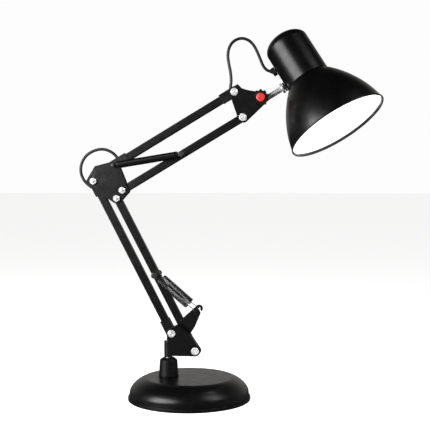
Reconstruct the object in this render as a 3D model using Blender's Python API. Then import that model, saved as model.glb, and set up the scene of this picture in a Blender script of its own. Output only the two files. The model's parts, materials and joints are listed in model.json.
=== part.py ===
"""Swing arm desk lamp: round weighted base, two parallel-link arms with springs, and a bell shade.

Metres, +Z up. The origin is the centre of the base's underside. The arms lie in the XZ plane and
reach towards +X. Lengths below are in millimetres and are turned into metres by mm().
"""

import math

import bmesh
import bpy
from mathutils import Matrix, Vector

# ---------------------------------------------------------------- driving dimensions, millimetres
GAP = 0.3                      # clearance between pieces that touch

BASE_RADIUS = 100.0
BASE_HEIGHT = 37.0
BASE_TOP_RADIUS = 70.0         # flat top, inside the rounded shoulder
SHOULDER_START = 12.6          # height where the upright side begins to turn in
BASE_BAND_HEIGHT = 6.1
PAD_RADIUS = 91.5
PLATE_TOP = 3.0
SHELL_RADIUS = 97.4
SHELL_WALL = 1.5
POST_X = -34.2                 # the upright pin stands off the base's centre

SOCKET_BOTTOM_RADIUS = 16.4
SOCKET_TOP_RADIUS = 14.3
SOCKET_HEIGHT = 30.4
SPIGOT_RADIUS = 9.5            # the socket's thread through the shell
BUSH_RADIUS = 7.0
PIN_RADIUS = 5.0
HEM_PIN_RADIUS = 5.6

SHEET = 1.4                    # swivel bracket's sheet steel
INSIDE_HALF = 5.9              # half the room between a pair of plates
PLATE = 1.2                    # elbow and head plates
PLATE_OUTSIDE = INSIDE_HALF + PLATE

LINK_SPACING = 48.0            # lower pivots, bracket and elbow
LINK_LINE_ANGLE = -36.0        # degrees above +X of the line through them
LOWER_LENGTH = 280.0
LOWER_ANGLE = 117.4            # degrees above +X at rest
UPPER_LENGTH = 229.4
UPPER_ANGLE = 30.8
UPPER_SPACING = 43.0
UPPER_LINE_ANGLE = 108.7

ROD_WIDE = 9.4                 # across the plates
ROD_DEEP = 12.8                # in the arm's plane
ROD_WALL = 1.0
ROD_OVERHANG = 4.8             # rod beyond its pivot
SLEEVE_LENGTH = 25.0           # sleeve past the pivot, along the rod
SLEEVE_BACK = 7.0              # sleeve beyond the pivot
SLEEVE_OUTSIDE = 8.5           # from the rod's centre line, on the cable's side
SLEEVE_INSIDE = 7.3
PIVOT_HOLE = 2.8
BOLT_RADIUS = 2.5
BOLT_HEAD_RADIUS = 6.3
NUT_FLATS = 12.0
ELBOW_NUT_FLATS = 10.0

LOWER_SPRING_Y = 20.5
LOWER_SPRING_RADIUS = 6.0      # outside of the coil
UPPER_SPRING_Y = 14.0
UPPER_SPRING_RADIUS = 3.9
UPPER_SLEEVE_RADIUS = 5.2
SPRING_WIRE = 0.8              # radius
COIL_DROP = 1.0                # a coil hangs a little under the line of its end loops
SPRING_EYE = 3.3               # middle of the wire, round a pin
SPRING_PIN_RADIUS = 2.2

STEM_ANGLE = 31.6              # degrees above +X
STEM_LENGTH = 42.9             # clamp axis to the neck's side
STEM_RADIUS = 4.5
STEM_TIP_RADIUS = 3.0          # through the neck's wall
STEM_EYE_HALF = 5.2
COLLAR_BACK = 3.5              # from the neck's side to the collar
STEM_DROP = 4.3                # the rod runs this far below the clamp axis
KNOB_RADIUS = 11.0
KNOB_LOBES = 10
KNOB_THICK = 14.0
CLAMP_BOLT_RADIUS = 3.0
CAP_RADIUS = 6.9

NECK_RADIUS = 36.0
NECK_WALL = 0.9
NECK_DOME_START = 56.5         # above the stem's axis, along the neck
NECK_TOP = 76.9
GLAND_HEIGHT = 31.5            # cable gland above the stem's axis
GLAND_LENGTH = 12.8
SEAM = -11.3                   # where neck and reflector meet
SHADE_TURN = -14.2             # the shade stands turned about the stem towards -Y
FLARE = [(36.5, 0.0), (58.4, 23.2), (76.4, 56.0), (81.3, 88.4)]   # radius and drop, Bezier
SHADE_WALL = 0.8
RIM_BEAD = 1.3
CROWN_HOLE = 22.0
BULB_RADIUS = 24.5
BULB_WALL = 1.2

CORD_RADIUS = 2.4

# Pivots in the arm's plane, as (x, z).


def polar(length, degrees):
    angle = math.radians(degrees)
    return Vector((length * math.cos(angle), length * math.sin(angle)))


BASE_REAR = Vector((-28.5, 107.9))
BASE_FRONT = BASE_REAR + polar(LINK_SPACING, LINK_LINE_ANGLE)
ELBOW_REAR = BASE_REAR + polar(LOWER_LENGTH, LOWER_ANGLE)
ELBOW_FRONT = BASE_FRONT + polar(LOWER_LENGTH, LOWER_ANGLE)
ELBOW_LOW = ELBOW_REAR + Vector((48.3, -14.9))
ELBOW_HIGH = ELBOW_LOW + polar(UPPER_SPACING, UPPER_LINE_ANGLE)
HEAD_HIGH = ELBOW_HIGH + polar(UPPER_LENGTH, UPPER_ANGLE)
HEAD_LOW = ELBOW_LOW + polar(UPPER_LENGTH, UPPER_ANGLE)
CLAMP = HEAD_HIGH + Vector((43.2, -10.6))
LOWER_PIN = BASE_FRONT + polar(LOWER_LENGTH / 2, LOWER_ANGLE)
WING_HOOK = Vector((13.8, 146.3))
UPPER_PIN = ELBOW_LOW + polar(UPPER_LENGTH / 2, UPPER_ANGLE)

# ---------------------------------------------------------------- materials
BLACK_PAINT = ("satin black paint", (0.012, 0.012, 0.013), 0.38, 0.0)
BLACK_PLASTIC = ("black plastic", (0.014, 0.014, 0.015), 0.45, 0.0)
BLACK_RUBBER = ("black rubber", (0.02, 0.02, 0.02), 0.8, 0.0)
BLACK_STEEL = ("black steel", (0.02, 0.02, 0.021), 0.35, 0.9)
CHROME = ("chrome", (0.8, 0.8, 0.8), 0.12, 1.0)
STEEL = ("steel", (0.5, 0.5, 0.5), 0.3, 1.0)
CAST_IRON = ("cast iron", (0.08, 0.08, 0.08), 0.7, 0.8)
FOAM = ("foam pad", (0.03, 0.03, 0.03), 0.95, 0.0)
RED_PLASTIC = ("red plastic", (0.65, 0.03, 0.03), 0.35, 0.0)
NYLON = ("white nylon", (0.75, 0.74, 0.7), 0.45, 0.0)
CERAMIC = ("white ceramic", (0.85, 0.84, 0.8), 0.3, 0.0)
BULB_GLASS = ("frosted glass", (0.95, 0.94, 0.9), 0.25, 0.0)


def mm(value):
    return value * 0.001


def material(look):
    name, colour, roughness, metallic = look
    found = bpy.data.materials.get(name)
    if found:
        return found
    made = bpy.data.materials.new(name)
    made.use_nodes = True
    shader = made.node_tree.nodes["Principled BSDF"]
    shader.inputs["Base Color"].default_value = (*colour, 1.0)
    shader.inputs["Roughness"].default_value = roughness
    shader.inputs["Metallic"].default_value = metallic
    return made


# ---------------------------------------------------------------- outlines, as lists of 2-D points
def arc(centre, radius, start, end, steps):
    """Points on an arc, from start to end in degrees, both included."""
    angles = [math.radians(start + (end - start) * i / steps) for i in range(steps + 1)]
    return [(centre[0] + radius * math.cos(a), centre[1] + radius * math.sin(a)) for a in angles]


def circle(centre, radius, steps=16):
    return arc(centre, radius, 0, 360, steps)[:-1]


def rounded(corners, steps=4):
    """A closed outline from (x, y, fillet radius) corners."""
    points = []
    for i, (x, y, radius) in enumerate(corners):
        here = Vector((x, y))
        to_last = (Vector(corners[i - 1][:2]) - here).normalized()
        to_next = (Vector(corners[(i + 1) % len(corners)][:2]) - here).normalized()
        if radius == 0:
            points.append((x, y))
            continue
        half = math.acos(max(-1.0, min(1.0, to_last.dot(to_next)))) / 2
        reach = radius / math.tan(half)
        centre = here + (to_last + to_next).normalized() * radius / math.sin(half)
        first = here + to_last * reach - centre
        turn = first.angle_signed(here + to_next * reach - centre)
        for j in range(steps + 1):
            spoke = Matrix.Rotation(-turn * j / steps, 2) @ first
            points.append(tuple(centre + spoke))
    return points


def box_outline(x0, x1, y0, y1, radius=0.0, steps=1):
    return rounded([(x0, y0, radius), (x1, y0, radius), (x1, y1, radius), (x0, y1, radius)], steps)


def bezier(p0, p1, p2, p3, steps):
    points = []
    for i in range(steps + 1):
        t = i / steps
        weights = ((1 - t) ** 3, 3 * t * (1 - t) ** 2, 3 * t * t * (1 - t), t ** 3)
        whole = sum((w * Vector(p) for w, p in zip(weights, (p0, p1, p2, p3))), Vector((0, 0)))
        points.append(tuple(whole))
    return points


def offset_profile(points, distance):
    """The open profile moved sideways, to its left, by the distance."""
    moved = []
    for i, point in enumerate(points):
        before = Vector(points[max(i - 1, 0)])
        after = Vector(points[min(i + 1, len(points) - 1)])
        along = (after - before).normalized()
        moved.append((point[0] - along.y * distance, point[1] + along.x * distance))
    return moved


# ---------------------------------------------------------------- meshes
def add(name, shape, look, parent=None, matrix=None, smooth_angle=None):
    """One object from a bmesh made in millimetres. The matrix places it under its parent."""
    bmesh.ops.remove_doubles(shape, verts=shape.verts, dist=1e-4)
    bmesh.ops.recalc_face_normals(shape, faces=shape.faces)
    bmesh.ops.scale(shape, vec=(0.001, 0.001, 0.001), verts=shape.verts)
    mesh = bpy.data.meshes.new(name)
    shape.to_mesh(mesh)
    shape.free()
    mesh.materials.append(material(look))
    obj = bpy.data.objects.new(name, mesh)
    bpy.context.scene.collection.objects.link(obj)
    if parent:
        obj.parent = parent
    if matrix:
        obj.matrix_local = matrix
    if smooth_angle:
        for polygon in mesh.polygons:
            polygon.use_smooth = True
        mesh.set_sharp_from_angle(angle=math.radians(smooth_angle))
    return obj


def empty(name, place, matrix=None, parent=None):
    """A joint's frame. Its place is in millimetres, in its parent's frame."""
    obj = bpy.data.objects.new(name, None)
    obj.empty_display_size = 0.02
    bpy.context.scene.collection.objects.link(obj)
    obj.parent = parent
    location = Matrix.Translation(Vector([mm(v) for v in place]))
    obj.matrix_local = location @ (matrix or Matrix())
    return obj


def prism(loops, low, high, axis="Y"):
    """The first outline less the others, extruded from low to high. Outlines are in X and Z (or Y)."""
    shape = bmesh.new()
    edges = []
    for loop in loops:
        if axis == "Y":
            verts = [shape.verts.new((x, low, z)) for x, z in loop]
        elif axis == "Z":
            verts = [shape.verts.new((x, y, low)) for x, y in loop]
        else:
            verts = [shape.verts.new((low, y, z)) for y, z in loop]
        for i, vert in enumerate(verts):
            edges.append(shape.edges.new((vert, verts[(i + 1) % len(verts)])))
    faces = bmesh.ops.triangle_fill(shape, use_beauty=True, edges=edges)["geom"]
    faces = [face for face in faces if isinstance(face, bmesh.types.BMFace)]
    grown = bmesh.ops.extrude_face_region(shape, geom=faces, use_keep_orig=True)["geom"]
    top = [vert for vert in grown if isinstance(vert, bmesh.types.BMVert)]
    step = Vector([high - low if axis == letter else 0 for letter in "XYZ"])
    bmesh.ops.translate(shape, vec=step, verts=top)
    return shape


def lathe(profile, steps, axis="Z", closed=False):
    """(radius, height) points turned about an axis; closed joins the last point to the first."""
    shape = bmesh.new()
    rings = []
    for radius, height in profile:
        if radius == 0:
            rings.append([shape.verts.new(turned_point(0, height, 0, axis))])
            continue
        angles = [2 * math.pi * i / steps for i in range(steps)]
        rings.append([shape.verts.new(turned_point(radius, height, a, axis)) for a in angles])
    pairs = list(zip(rings, rings[1:]))
    if closed:
        pairs.append((rings[-1], rings[0]))
    for first, second in pairs:
        for i in range(steps):
            j = (i + 1) % steps
            around = ((first, i), (first, j), (second, j), (second, i))
            corners = list(dict.fromkeys(ring[k % len(ring)] for ring, k in around))
            if len(corners) > 2:
                shape.faces.new(corners)
    return shape


def turned_point(radius, height, angle, axis):
    across, up = radius * math.cos(angle), radius * math.sin(angle)
    if axis == "Z":
        return (across, up, height)
    if axis == "Y":
        return (across, height, up)
    return (height, across, up)


def sweep(path, radius, sides):
    """A round wire along a path of 3-D points, with flat ends."""
    shape = bmesh.new()
    points = [Vector(p) for p in path]
    befores = points[:1] + points[:-1]
    afters = points[1:] + points[-1:]
    tangents = [(after - before).normalized() for before, after in zip(befores, afters)]
    side = tangents[0].orthogonal().normalized()
    rings = []
    for point, tangent in zip(points, tangents):
        side = (side - tangent * side.dot(tangent)).normalized()
        other = tangent.cross(side)
        ring = []
        for i in range(sides):
            angle = 2 * math.pi * i / sides
            spoke = side * math.cos(angle) + other * math.sin(angle)
            ring.append(shape.verts.new(point + spoke * radius))
        rings.append(ring)
    for first, second in zip(rings, rings[1:]):
        for i in range(sides):
            j = (i + 1) % sides
            shape.faces.new((first[i], first[j], second[j], second[i]))
    shape.faces.new(list(reversed(rings[0])))
    shape.faces.new(rings[-1])
    return shape


def merge(*shapes):
    """Several bmeshes as one, for a cutter whose pieces don't touch."""
    whole = bmesh.new()
    for shape in shapes:
        mesh = bpy.data.meshes.new("piece")
        shape.to_mesh(mesh)
        shape.free()
        whole.from_mesh(mesh)
        bpy.data.meshes.remove(mesh)
    return whole


def rod_y(x, z, radius, low, high, steps=12):
    """A cylinder along Y."""
    return prism([circle((x, z), radius, steps)], low, high)


def boolean(target, cutter_shape, operation="DIFFERENCE"):
    """A Boolean modifier on the target, with a hidden helper in the same frame."""
    name = f"{target.name}_helper_{len(target.modifiers)}"
    helper = add(name, cutter_shape, BLACK_STEEL, target.parent, target.matrix_local.copy())
    helper.hide_render = True
    helper.display_type = "WIRE"
    modifier = target.modifiers.new(operation.title(), "BOOLEAN")
    modifier.operation = operation
    modifier.object = helper
    return target


def along(angle):
    """Turns local +X to a direction this many degrees above +X, in the arm's plane."""
    return Matrix.Rotation(math.radians(-angle), 4, "Y")


def place(x, z, y=0.0):
    return Matrix.Translation((mm(x), mm(y), mm(z)))


# ---------------------------------------------------------------- fasteners
def bolt(name, parent, x, z, side, length):
    """A pivot bolt along Y. Its head is outside the plate on the side given, -1 or +1."""
    face = PLATE_OUTSIDE + GAP
    dome = [(BOLT_HEAD_RADIUS, 0.0), (BOLT_HEAD_RADIUS, 1.1), (5.2, 2.2), (3.2, 2.3)]
    dome += [(2.7, 1.5), (0.0, 1.5)]
    head = [(radius, face + height) for radius, height in reversed(dome)]
    profile = head + [(BOLT_RADIUS, face), (BOLT_RADIUS, -length), (0.0, -length)]
    shape = lathe(profile, 14, "Y")
    if side < 0:
        bmesh.ops.rotate(shape, verts=shape.verts, matrix=Matrix.Rotation(math.pi, 3, "Z"))
    return add(name, shape, CHROME, parent, place(x, z), smooth_angle=35)


def nut(name, parent, x, z, side, flats=NUT_FLATS):
    """A hexagon nut on the bolt's end, on the side given."""
    corner = flats / 2 / math.cos(math.radians(30))
    hexagon = arc((0, 0), corner, 90, 390, 5)
    low = PLATE_OUTSIDE + GAP
    shape = prism([hexagon, circle((0, 0), BOLT_RADIUS + GAP, 16)], low, low + 4.4)
    if side < 0:
        bmesh.ops.rotate(shape, verts=shape.verts, matrix=Matrix.Rotation(math.pi, 3, "Z"))
    return add(name, shape, CHROME, parent, place(x, z))


# ---------------------------------------------------------------- base
def make_base():
    post = (POST_X, 0)
    pad = lathe([(0, 0), (PAD_RADIUS, 0), (PAD_RADIUS, 1.2), (0, 1.2)], 36)
    add("base_pad", pad, FOAM)

    # The plate closes the shell from below; its raised rim is the band round the foot.
    plate = [(0, 1.5), (PAD_RADIUS + 1, 1.5), (PAD_RADIUS + 2, 0.4), (BASE_RADIUS - 1, 0.4)]
    plate += [(BASE_RADIUS, 1.4), (BASE_RADIUS, BASE_BAND_HEIGHT - 0.8)]
    plate += [(BASE_RADIUS - 0.8, BASE_BAND_HEIGHT), (SHELL_RADIUS + GAP, BASE_BAND_HEIGHT)]
    plate += [(SHELL_RADIUS + GAP, PLATE_TOP), (0, PLATE_TOP)]
    add("base_plate", lathe(plate, 40), BLACK_PLASTIC, smooth_angle=40)

    floor = PLATE_TOP + GAP
    iron = [(0, floor), (84, floor), (84, 17.0), (81, 19.5), (0, 19.5)]
    weight = add("base_weight", lathe(iron, 36), CAST_IRON, smooth_angle=40)
    boolean(weight, prism([circle(post, 20, 20)], -1, 40, "Z"))

    run = SHELL_RADIUS - BASE_TOP_RADIUS
    rise = BASE_HEIGHT - SHOULDER_START
    outer = [(SHELL_RADIUS, floor), (SHELL_RADIUS, SHOULDER_START)]
    for i in range(1, 7):
        angle = math.radians(90 * i / 6)
        radius = BASE_TOP_RADIUS + run * math.cos(angle) ** 1.4
        outer.append((radius, SHOULDER_START + rise * math.sin(angle) ** 1.14))
    inner = offset_profile(outer, SHELL_WALL)
    inner[0] = (SHELL_RADIUS - SHELL_WALL, floor)
    profile = outer + [(0, BASE_HEIGHT), (0, BASE_HEIGHT - SHELL_WALL)] + list(reversed(inner))
    shell = add("base_shell", lathe(profile, 40, closed=True), BLACK_PAINT, smooth_angle=40)
    boolean(shell, prism([circle(post, SPIGOT_RADIUS + 0.5, 24)], 20, 50, "Z"))

    # The socket's threaded spigot goes through the shell and takes a nut inside.
    foot = BASE_HEIGHT + GAP
    top = foot + SOCKET_HEIGHT
    bore = BUSH_RADIUS + GAP
    socket = [(bore, foot - 11.3), (SPIGOT_RADIUS, foot - 11.3), (SPIGOT_RADIUS, foot)]
    socket += [(SOCKET_BOTTOM_RADIUS, foot), (SOCKET_BOTTOM_RADIUS, foot + 3)]
    socket += [(SOCKET_TOP_RADIUS, top - 3.6), (9.5, top), (HEM_PIN_RADIUS + GAP, top)]
    socket += [(HEM_PIN_RADIUS + GAP, top - 2.5), (bore, top - 2.5)]
    where = Matrix.Translation((mm(POST_X), 0, 0))
    add("post_socket", lathe(socket, 24, closed=True), BLACK_PLASTIC, None, where, 40)
    inside = PIN_RADIUS + GAP
    bush = [(inside, foot - 11), (BUSH_RADIUS, foot - 11), (BUSH_RADIUS, top - 2.8)]
    bush += [(inside, top - 2.8)]
    add("socket_bush", lathe(bush, 20, closed=True), NYLON, None, where, 40)
    hole = circle((0, 0), SPIGOT_RADIUS + GAP, 24)
    ring = prism([circle((0, 0), 15.0, 6), hole], foot - 8.5, foot - SHELL_WALL - 0.6, "Z")
    add("socket_nut", ring, STEEL, None, where)


# ---------------------------------------------------------------- swivel bracket
def bracket_sheet():
    """The folded sheet's middle surface: two cheeks, the hem between them and a stepped-out wing on each."""
    middle = INSIDE_HALF + SHEET / 2
    hem_low, hem_high = BASE_HEIGHT + SOCKET_HEIGHT + 1.8, 95.2
    shape = bmesh.new()
    hem_rows = {}
    for side in (-1, 1):
        fold_top, fold_low = (-16.7, 123.3), (1.6, 107.4)
        cheek = [(POST_X, hem_low), (POST_X, hem_high), (-36.2, 98.2)]
        cheek += arc(BASE_REAR, 8.6, 210, 130, 4)
        cheek += [fold_top, fold_low]
        cheek += arc(BASE_FRONT, 8.6, 10, -90, 6)
        cheek += [(-26.5, BASE_FRONT.y - 8.6), (-28.5, hem_low)]
        holes = [circle(BASE_REAR, PIVOT_HOLE, 12), circle(BASE_FRONT, PIVOT_HOLE, 12)]
        made = {}
        edges = []
        for loop in [cheek] + holes:
            verts = [shape.verts.new((x, side * middle, z)) for x, z in loop]
            made.update({(round(x, 3), round(z, 3)): v for (x, z), v in zip(loop, verts)})
            for i, vert in enumerate(verts):
                edges.append(shape.edges.new((vert, verts[(i + 1) % len(verts)])))
        bmesh.ops.triangle_fill(shape, use_beauty=True, edges=edges)

        outside = LOWER_SPRING_Y
        step_top, step_low = (-12.4, 130.9), (6.4, 115.2)
        hook = [(14.6, 134.6), (16.2, 138.6)]
        hook += arc(WING_HOOK, 2.1, -88, -408, 12)
        hook += arc(WING_HOOK, 6.1, -52, 134, 8)
        wing = [step_top, step_low] + hook
        verts = [shape.verts.new((x, side * outside, z)) for x, z in wing]
        edges = [shape.edges.new((v, verts[(i + 1) % len(verts)])) for i, v in enumerate(verts)]
        bmesh.ops.triangle_fill(shape, use_beauty=True, edges=edges)
        fold = [made[(round(x, 3), round(z, 3))] for x, z in (fold_top, fold_low)]
        shape.faces.new((fold[0], fold[1], verts[1], verts[0]))
        hem_rows[side] = [made[(round(POST_X, 3), z)] for z in (hem_low, hem_high)]

    steps = 8
    last = hem_rows[-1]
    for i in range(1, steps + 1):
        angle = math.radians(-90 - 180 * i / steps)
        if i == steps:
            here = hem_rows[1]
        else:
            x, y = POST_X + middle * math.cos(angle), middle * math.sin(angle)
            here = [shape.verts.new((x, y, z)) for z in (hem_low, hem_high)]
        shape.faces.new((last[0], last[1], here[1], here[0]))
        last = here
    return shape


def make_swivel():
    pivot = empty("swivel_axis", (POST_X, 0, BASE_HEIGHT))
    back = place(-POST_X, -BASE_HEIGHT)
    bracket = add("swivel_bracket", bracket_sheet(), BLACK_PAINT, pivot, back)
    sheet = bracket.modifiers.new("Sheet", "SOLIDIFY")
    sheet.thickness = mm(SHEET)
    sheet.offset = 0
    sheet.use_even_offset = True

    # The pin steps out above the socket, where the sheet is folded round it.
    centre = place(0, -BASE_HEIGHT)
    shoulder = BASE_HEIGHT + GAP + SOCKET_HEIGHT + 0.5
    groove = 20.5
    pin = [(0, groove - 3), (4.4, groove - 3), (PIN_RADIUS, groove - 2.4), (PIN_RADIUS, groove)]
    pin += [(4.0, groove), (4.0, groove + 1.4), (PIN_RADIUS, groove + 1.4), (PIN_RADIUS, shoulder)]
    pin += [(HEM_PIN_RADIUS, shoulder), (HEM_PIN_RADIUS, 94.6), (4.8, 95.4), (0, 95.4)]
    add("swivel_pin", lathe(pin, 20), STEEL, pivot, centre, 40)
    clip = [(4.3, groove + 0.3), (8.0, groove + 0.3), (8.0, groove + 1.1), (4.3, groove + 1.1)]
    add("pin_clip", lathe(clip, 20, closed=True), STEEL, pivot, centre)

    for label, point in (("rear", BASE_REAR), ("front", BASE_FRONT)):
        x, z = point.x - POST_X, point.y - BASE_HEIGHT
        bolt("lower_bolt_" + label, pivot, x, z, -1, 13.0)
        nut("lower_nut_" + label, pivot, x, z, 1)
    return pivot


# ---------------------------------------------------------------- rods and sleeves
def rod(name, parent, length, pin_hole=False):
    """A hollow square rod along local +X from its pivot, with a hole at each pivot."""
    wide, deep = ROD_WIDE / 2, ROD_DEEP / 2
    outside = box_outline(-wide, wide, -deep, deep, 1.2)
    inside = [(y * (1 - ROD_WALL / wide), z * (1 - ROD_WALL / deep)) for y, z in outside]
    tube = prism([outside, inside], -ROD_OVERHANG, length + ROD_OVERHANG, "X")
    obj = add(name, tube, BLACK_PAINT, parent, Matrix())
    cutters = [rod_y(x, 0, PIVOT_HOLE, -10, 10) for x in (0, length)]
    if pin_hole:
        cutters.append(rod_y(length / 2, 0, SPRING_PIN_RADIUS + GAP, -10, 10))
    return boolean(obj, merge(*cutters))


def sleeve(name, parent, x, direction):
    """A plastic end sleeve round a pivot at x, open along the rod in the direction -1 or +1."""
    end = x + SLEEVE_LENGTH * direction
    back = x - SLEEVE_BACK * direction
    corners = [(back, -SLEEVE_INSIDE, 4.5), (end, -SLEEVE_INSIDE, 0.8)]
    corners += [(end, SLEEVE_OUTSIDE, 0.8), (back, SLEEVE_OUTSIDE, 4.5)]
    outline = rounded(corners)
    body = prism([outline], -INSIDE_HALF + GAP, INSIDE_HALF - GAP)
    obj = add(name, body, BLACK_PLASTIC, parent, Matrix())
    room_y = ROD_WIDE / 2 + GAP
    room_z = ROD_DEEP / 2 + GAP
    low, high = sorted((x - (ROD_OVERHANG + GAP) * direction, x + (SLEEVE_LENGTH + 5) * direction))
    room = prism([box_outline(-room_y, room_y, -room_z, room_z, 1.0)], low, high, "X")
    boolean(obj, room)
    return boolean(obj, rod_y(x, 0, PIVOT_HOLE, -10, 10))


def spring_pin(name, parent, x, z, reach, head):
    """A cross pin along Y with a round head at each end that holds a spring's loop."""
    half = [(head, reach + 3.2), (head, reach + 1.4), (SPRING_PIN_RADIUS, reach + 1.4)]
    top = [(0, reach + 3.8), (head - 0.8, reach + 3.8)] + half
    bottom = [(radius, -height) for radius, height in reversed(top)]
    shape = lathe(top + bottom, 12, "Y")
    return add(name, shape, BLACK_STEEL, parent, place(x, z), smooth_angle=35)


def spring(name, start, end, y, size, turns, ends, last_loop):
    """A tension spring between two (x, z) points at one y, with an eye at each.

    size is (coil outside radius, sides of the wire, points per turn), ends is the distance from
    each point to the coil. The first eye lies in the arm's plane, round a pin along Y. The last
    one does too if last_loop is "pin"; if it is "plate" it passes through a plate's notch.
    """
    radius, sides, per_turn = size
    first, last = Vector((start[0], y, start[1])), Vector((end[0], y, end[1]))
    axis = (last - first).normalized()
    across = Vector((0, -math.copysign(1, y), 0))
    up = axis.cross(Vector((0, 1, 0)))
    mean = radius - SPRING_WIRE
    drop = COIL_DROP if last_loop == "plate" else 0
    path = []
    for i in range(9):
        angle = math.radians(-40 - 280 * i / 8)
        path.append(first + (axis * math.cos(angle) + up * math.sin(angle)) * SPRING_EYE)
    coil = (last - first).length - sum(ends)
    count = turns * per_turn
    for i in range(count + 1):
        angle = 2 * math.pi * i / per_turn
        centre = first + axis * (ends[0] + coil * i / count) - up * drop
        path.append(centre + (across * math.cos(angle) + up * math.sin(angle)) * mean)
    turned_to = up if last_loop == "pin" else across
    middle = last if last_loop == "pin" else last - axis * SPRING_EYE
    for i in range(9):
        angle = math.radians(140 - 280 * i / 8)
        path.append(middle + (axis * math.cos(angle) + turned_to * math.sin(angle)) * SPRING_EYE)
    return add(name, sweep(path, SPRING_WIRE, sides), BLACK_STEEL, smooth_angle=60)


# ---------------------------------------------------------------- arms
def make_lower_arm(swivel):
    pivots = {}
    for label, point in (("rear", BASE_REAR), ("front", BASE_FRONT)):
        where = (point.x - POST_X, 0, point.y - BASE_HEIGHT)
        pivots[label] = empty("lower_" + label + "_pivot", where, along(LOWER_ANGLE), swivel)
    rod("lower_rear_rod", pivots["rear"], LOWER_LENGTH)
    sleeve("lower_rear_sleeve_bottom", pivots["rear"], 0, 1)
    sleeve("lower_rear_sleeve_top", pivots["rear"], LOWER_LENGTH, -1)
    rod("lower_front_rod", pivots["front"], LOWER_LENGTH, pin_hole=True)
    spring_pin("lower_spring_pin", pivots["front"], LOWER_LENGTH / 2, 0, LOWER_SPRING_Y, 5.0)
    for label, side in (("front", -1), ("back", 1)):
        y = side * LOWER_SPRING_Y
        size = (LOWER_SPRING_RADIUS, 3, 6)
        spring("lower_spring_" + label, LOWER_PIN, WING_HOOK, y, size, 14, (10.0, 16.5), "plate")
    return pivots["rear"]


def elbow_outline():
    """Elbow plate round its four axes, in a frame whose origin is the rear lower pivot."""
    corners = [(-13.4, -2.0, 4.5), (-5.8, 11.0, 6.0), (2.5, 24.5, 3.0), (39.0, 33.8, 7.0)]
    corners += [(59.4, -17.0, 3.5), (39.4, -39.2, 9.0), (-4.0, -9.5, 6.0)]
    return rounded(corners)


def make_elbow(lower_rear):
    turn_back = along(LOWER_ANGLE).inverted()
    pivot = empty("elbow_pivot", (LOWER_LENGTH, 0, 0), turn_back, lower_rear)
    points = {"rear": ELBOW_REAR, "front": ELBOW_FRONT, "low": ELBOW_LOW, "high": ELBOW_HIGH}
    local = {label: point - ELBOW_REAR for label, point in points.items()}
    holes = [circle(point, PIVOT_HOLE, 12) for point in local.values()]
    for label, side in (("front", -1), ("back", 1)):
        low, high = sorted((side * INSIDE_HALF, side * PLATE_OUTSIDE))
        shape = prism([elbow_outline()] + holes, low, high)
        add("elbow_plate_" + label, shape, BLACK_PAINT, pivot, Matrix())
    for label in ("rear", "front", "low"):
        x, z = local[label]
        bolt("elbow_bolt_" + label, pivot, x, z, 1, 14.0)
        nut("elbow_nut_" + label, pivot, x, z, -1, ELBOW_NUT_FLATS)
    spring_pin("elbow_spring_pin", pivot, *local["high"], UPPER_SPRING_Y, 3.2)
    return pivot


def make_upper_arm(elbow):
    pivots = {}
    for label, point in (("top", ELBOW_HIGH), ("bottom", ELBOW_LOW)):
        where = (point.x - ELBOW_REAR.x, 0, point.y - ELBOW_REAR.y)
        pivots[label] = empty("upper_" + label + "_pivot", where, along(UPPER_ANGLE), elbow)
    rod("upper_top_rod", pivots["top"], UPPER_LENGTH)
    sleeve("upper_top_sleeve_rear", pivots["top"], 0, 1)
    sleeve("upper_top_sleeve_front", pivots["top"], UPPER_LENGTH, -1)
    rod("upper_bottom_rod", pivots["bottom"], UPPER_LENGTH, pin_hole=True)
    spring_pin("upper_spring_pin", pivots["bottom"], UPPER_LENGTH / 2, 0, UPPER_SPRING_Y, 5.0)

    # Each upper spring is inside a plastic sleeve that leaves only its end loops in sight.
    reach = UPPER_PIN - ELBOW_HIGH
    turn = math.degrees(math.atan2(reach.y, reach.x))
    near, far = 5.6, reach.length - 6.7
    inside = UPPER_SPRING_RADIUS + 0.4
    tube = [(inside, near), (UPPER_SLEEVE_RADIUS, near), (UPPER_SLEEVE_RADIUS, far), (inside, far)]
    for label, side in (("front", -1), ("back", 1)):
        y = side * UPPER_SPRING_Y
        size = (UPPER_SPRING_RADIUS, 3, 6)
        spring("upper_spring_" + label, ELBOW_HIGH, UPPER_PIN, y, size, 12, (7.5, 8.5), "pin")
        matrix = place(ELBOW_HIGH.x, ELBOW_HIGH.y, y) @ along(turn)
        name = "upper_spring_sleeve_" + label
        add(name, lathe(tube, 20, "X", closed=True), BLACK_PLASTIC, None, matrix, 40)
    return pivots["top"]


# ---------------------------------------------------------------- head bracket, knob and stem
def head_outline():
    """Head plate round its three axes, in a frame whose origin is the high pivot."""
    clamp = CLAMP - HEAD_HIGH
    low = HEAD_LOW - HEAD_HIGH
    top = [(5.4, 12.2), (12.0, 5.6), (19.0, 3.0), (28.0, 1.2)]
    points = arc((0, 0), 8.4, 200, 100, 6) + top
    points += arc(clamp, 9.8, 80, -50, 7)
    points += arc(low, 8.2, -42, -165, 6)
    return points


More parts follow.
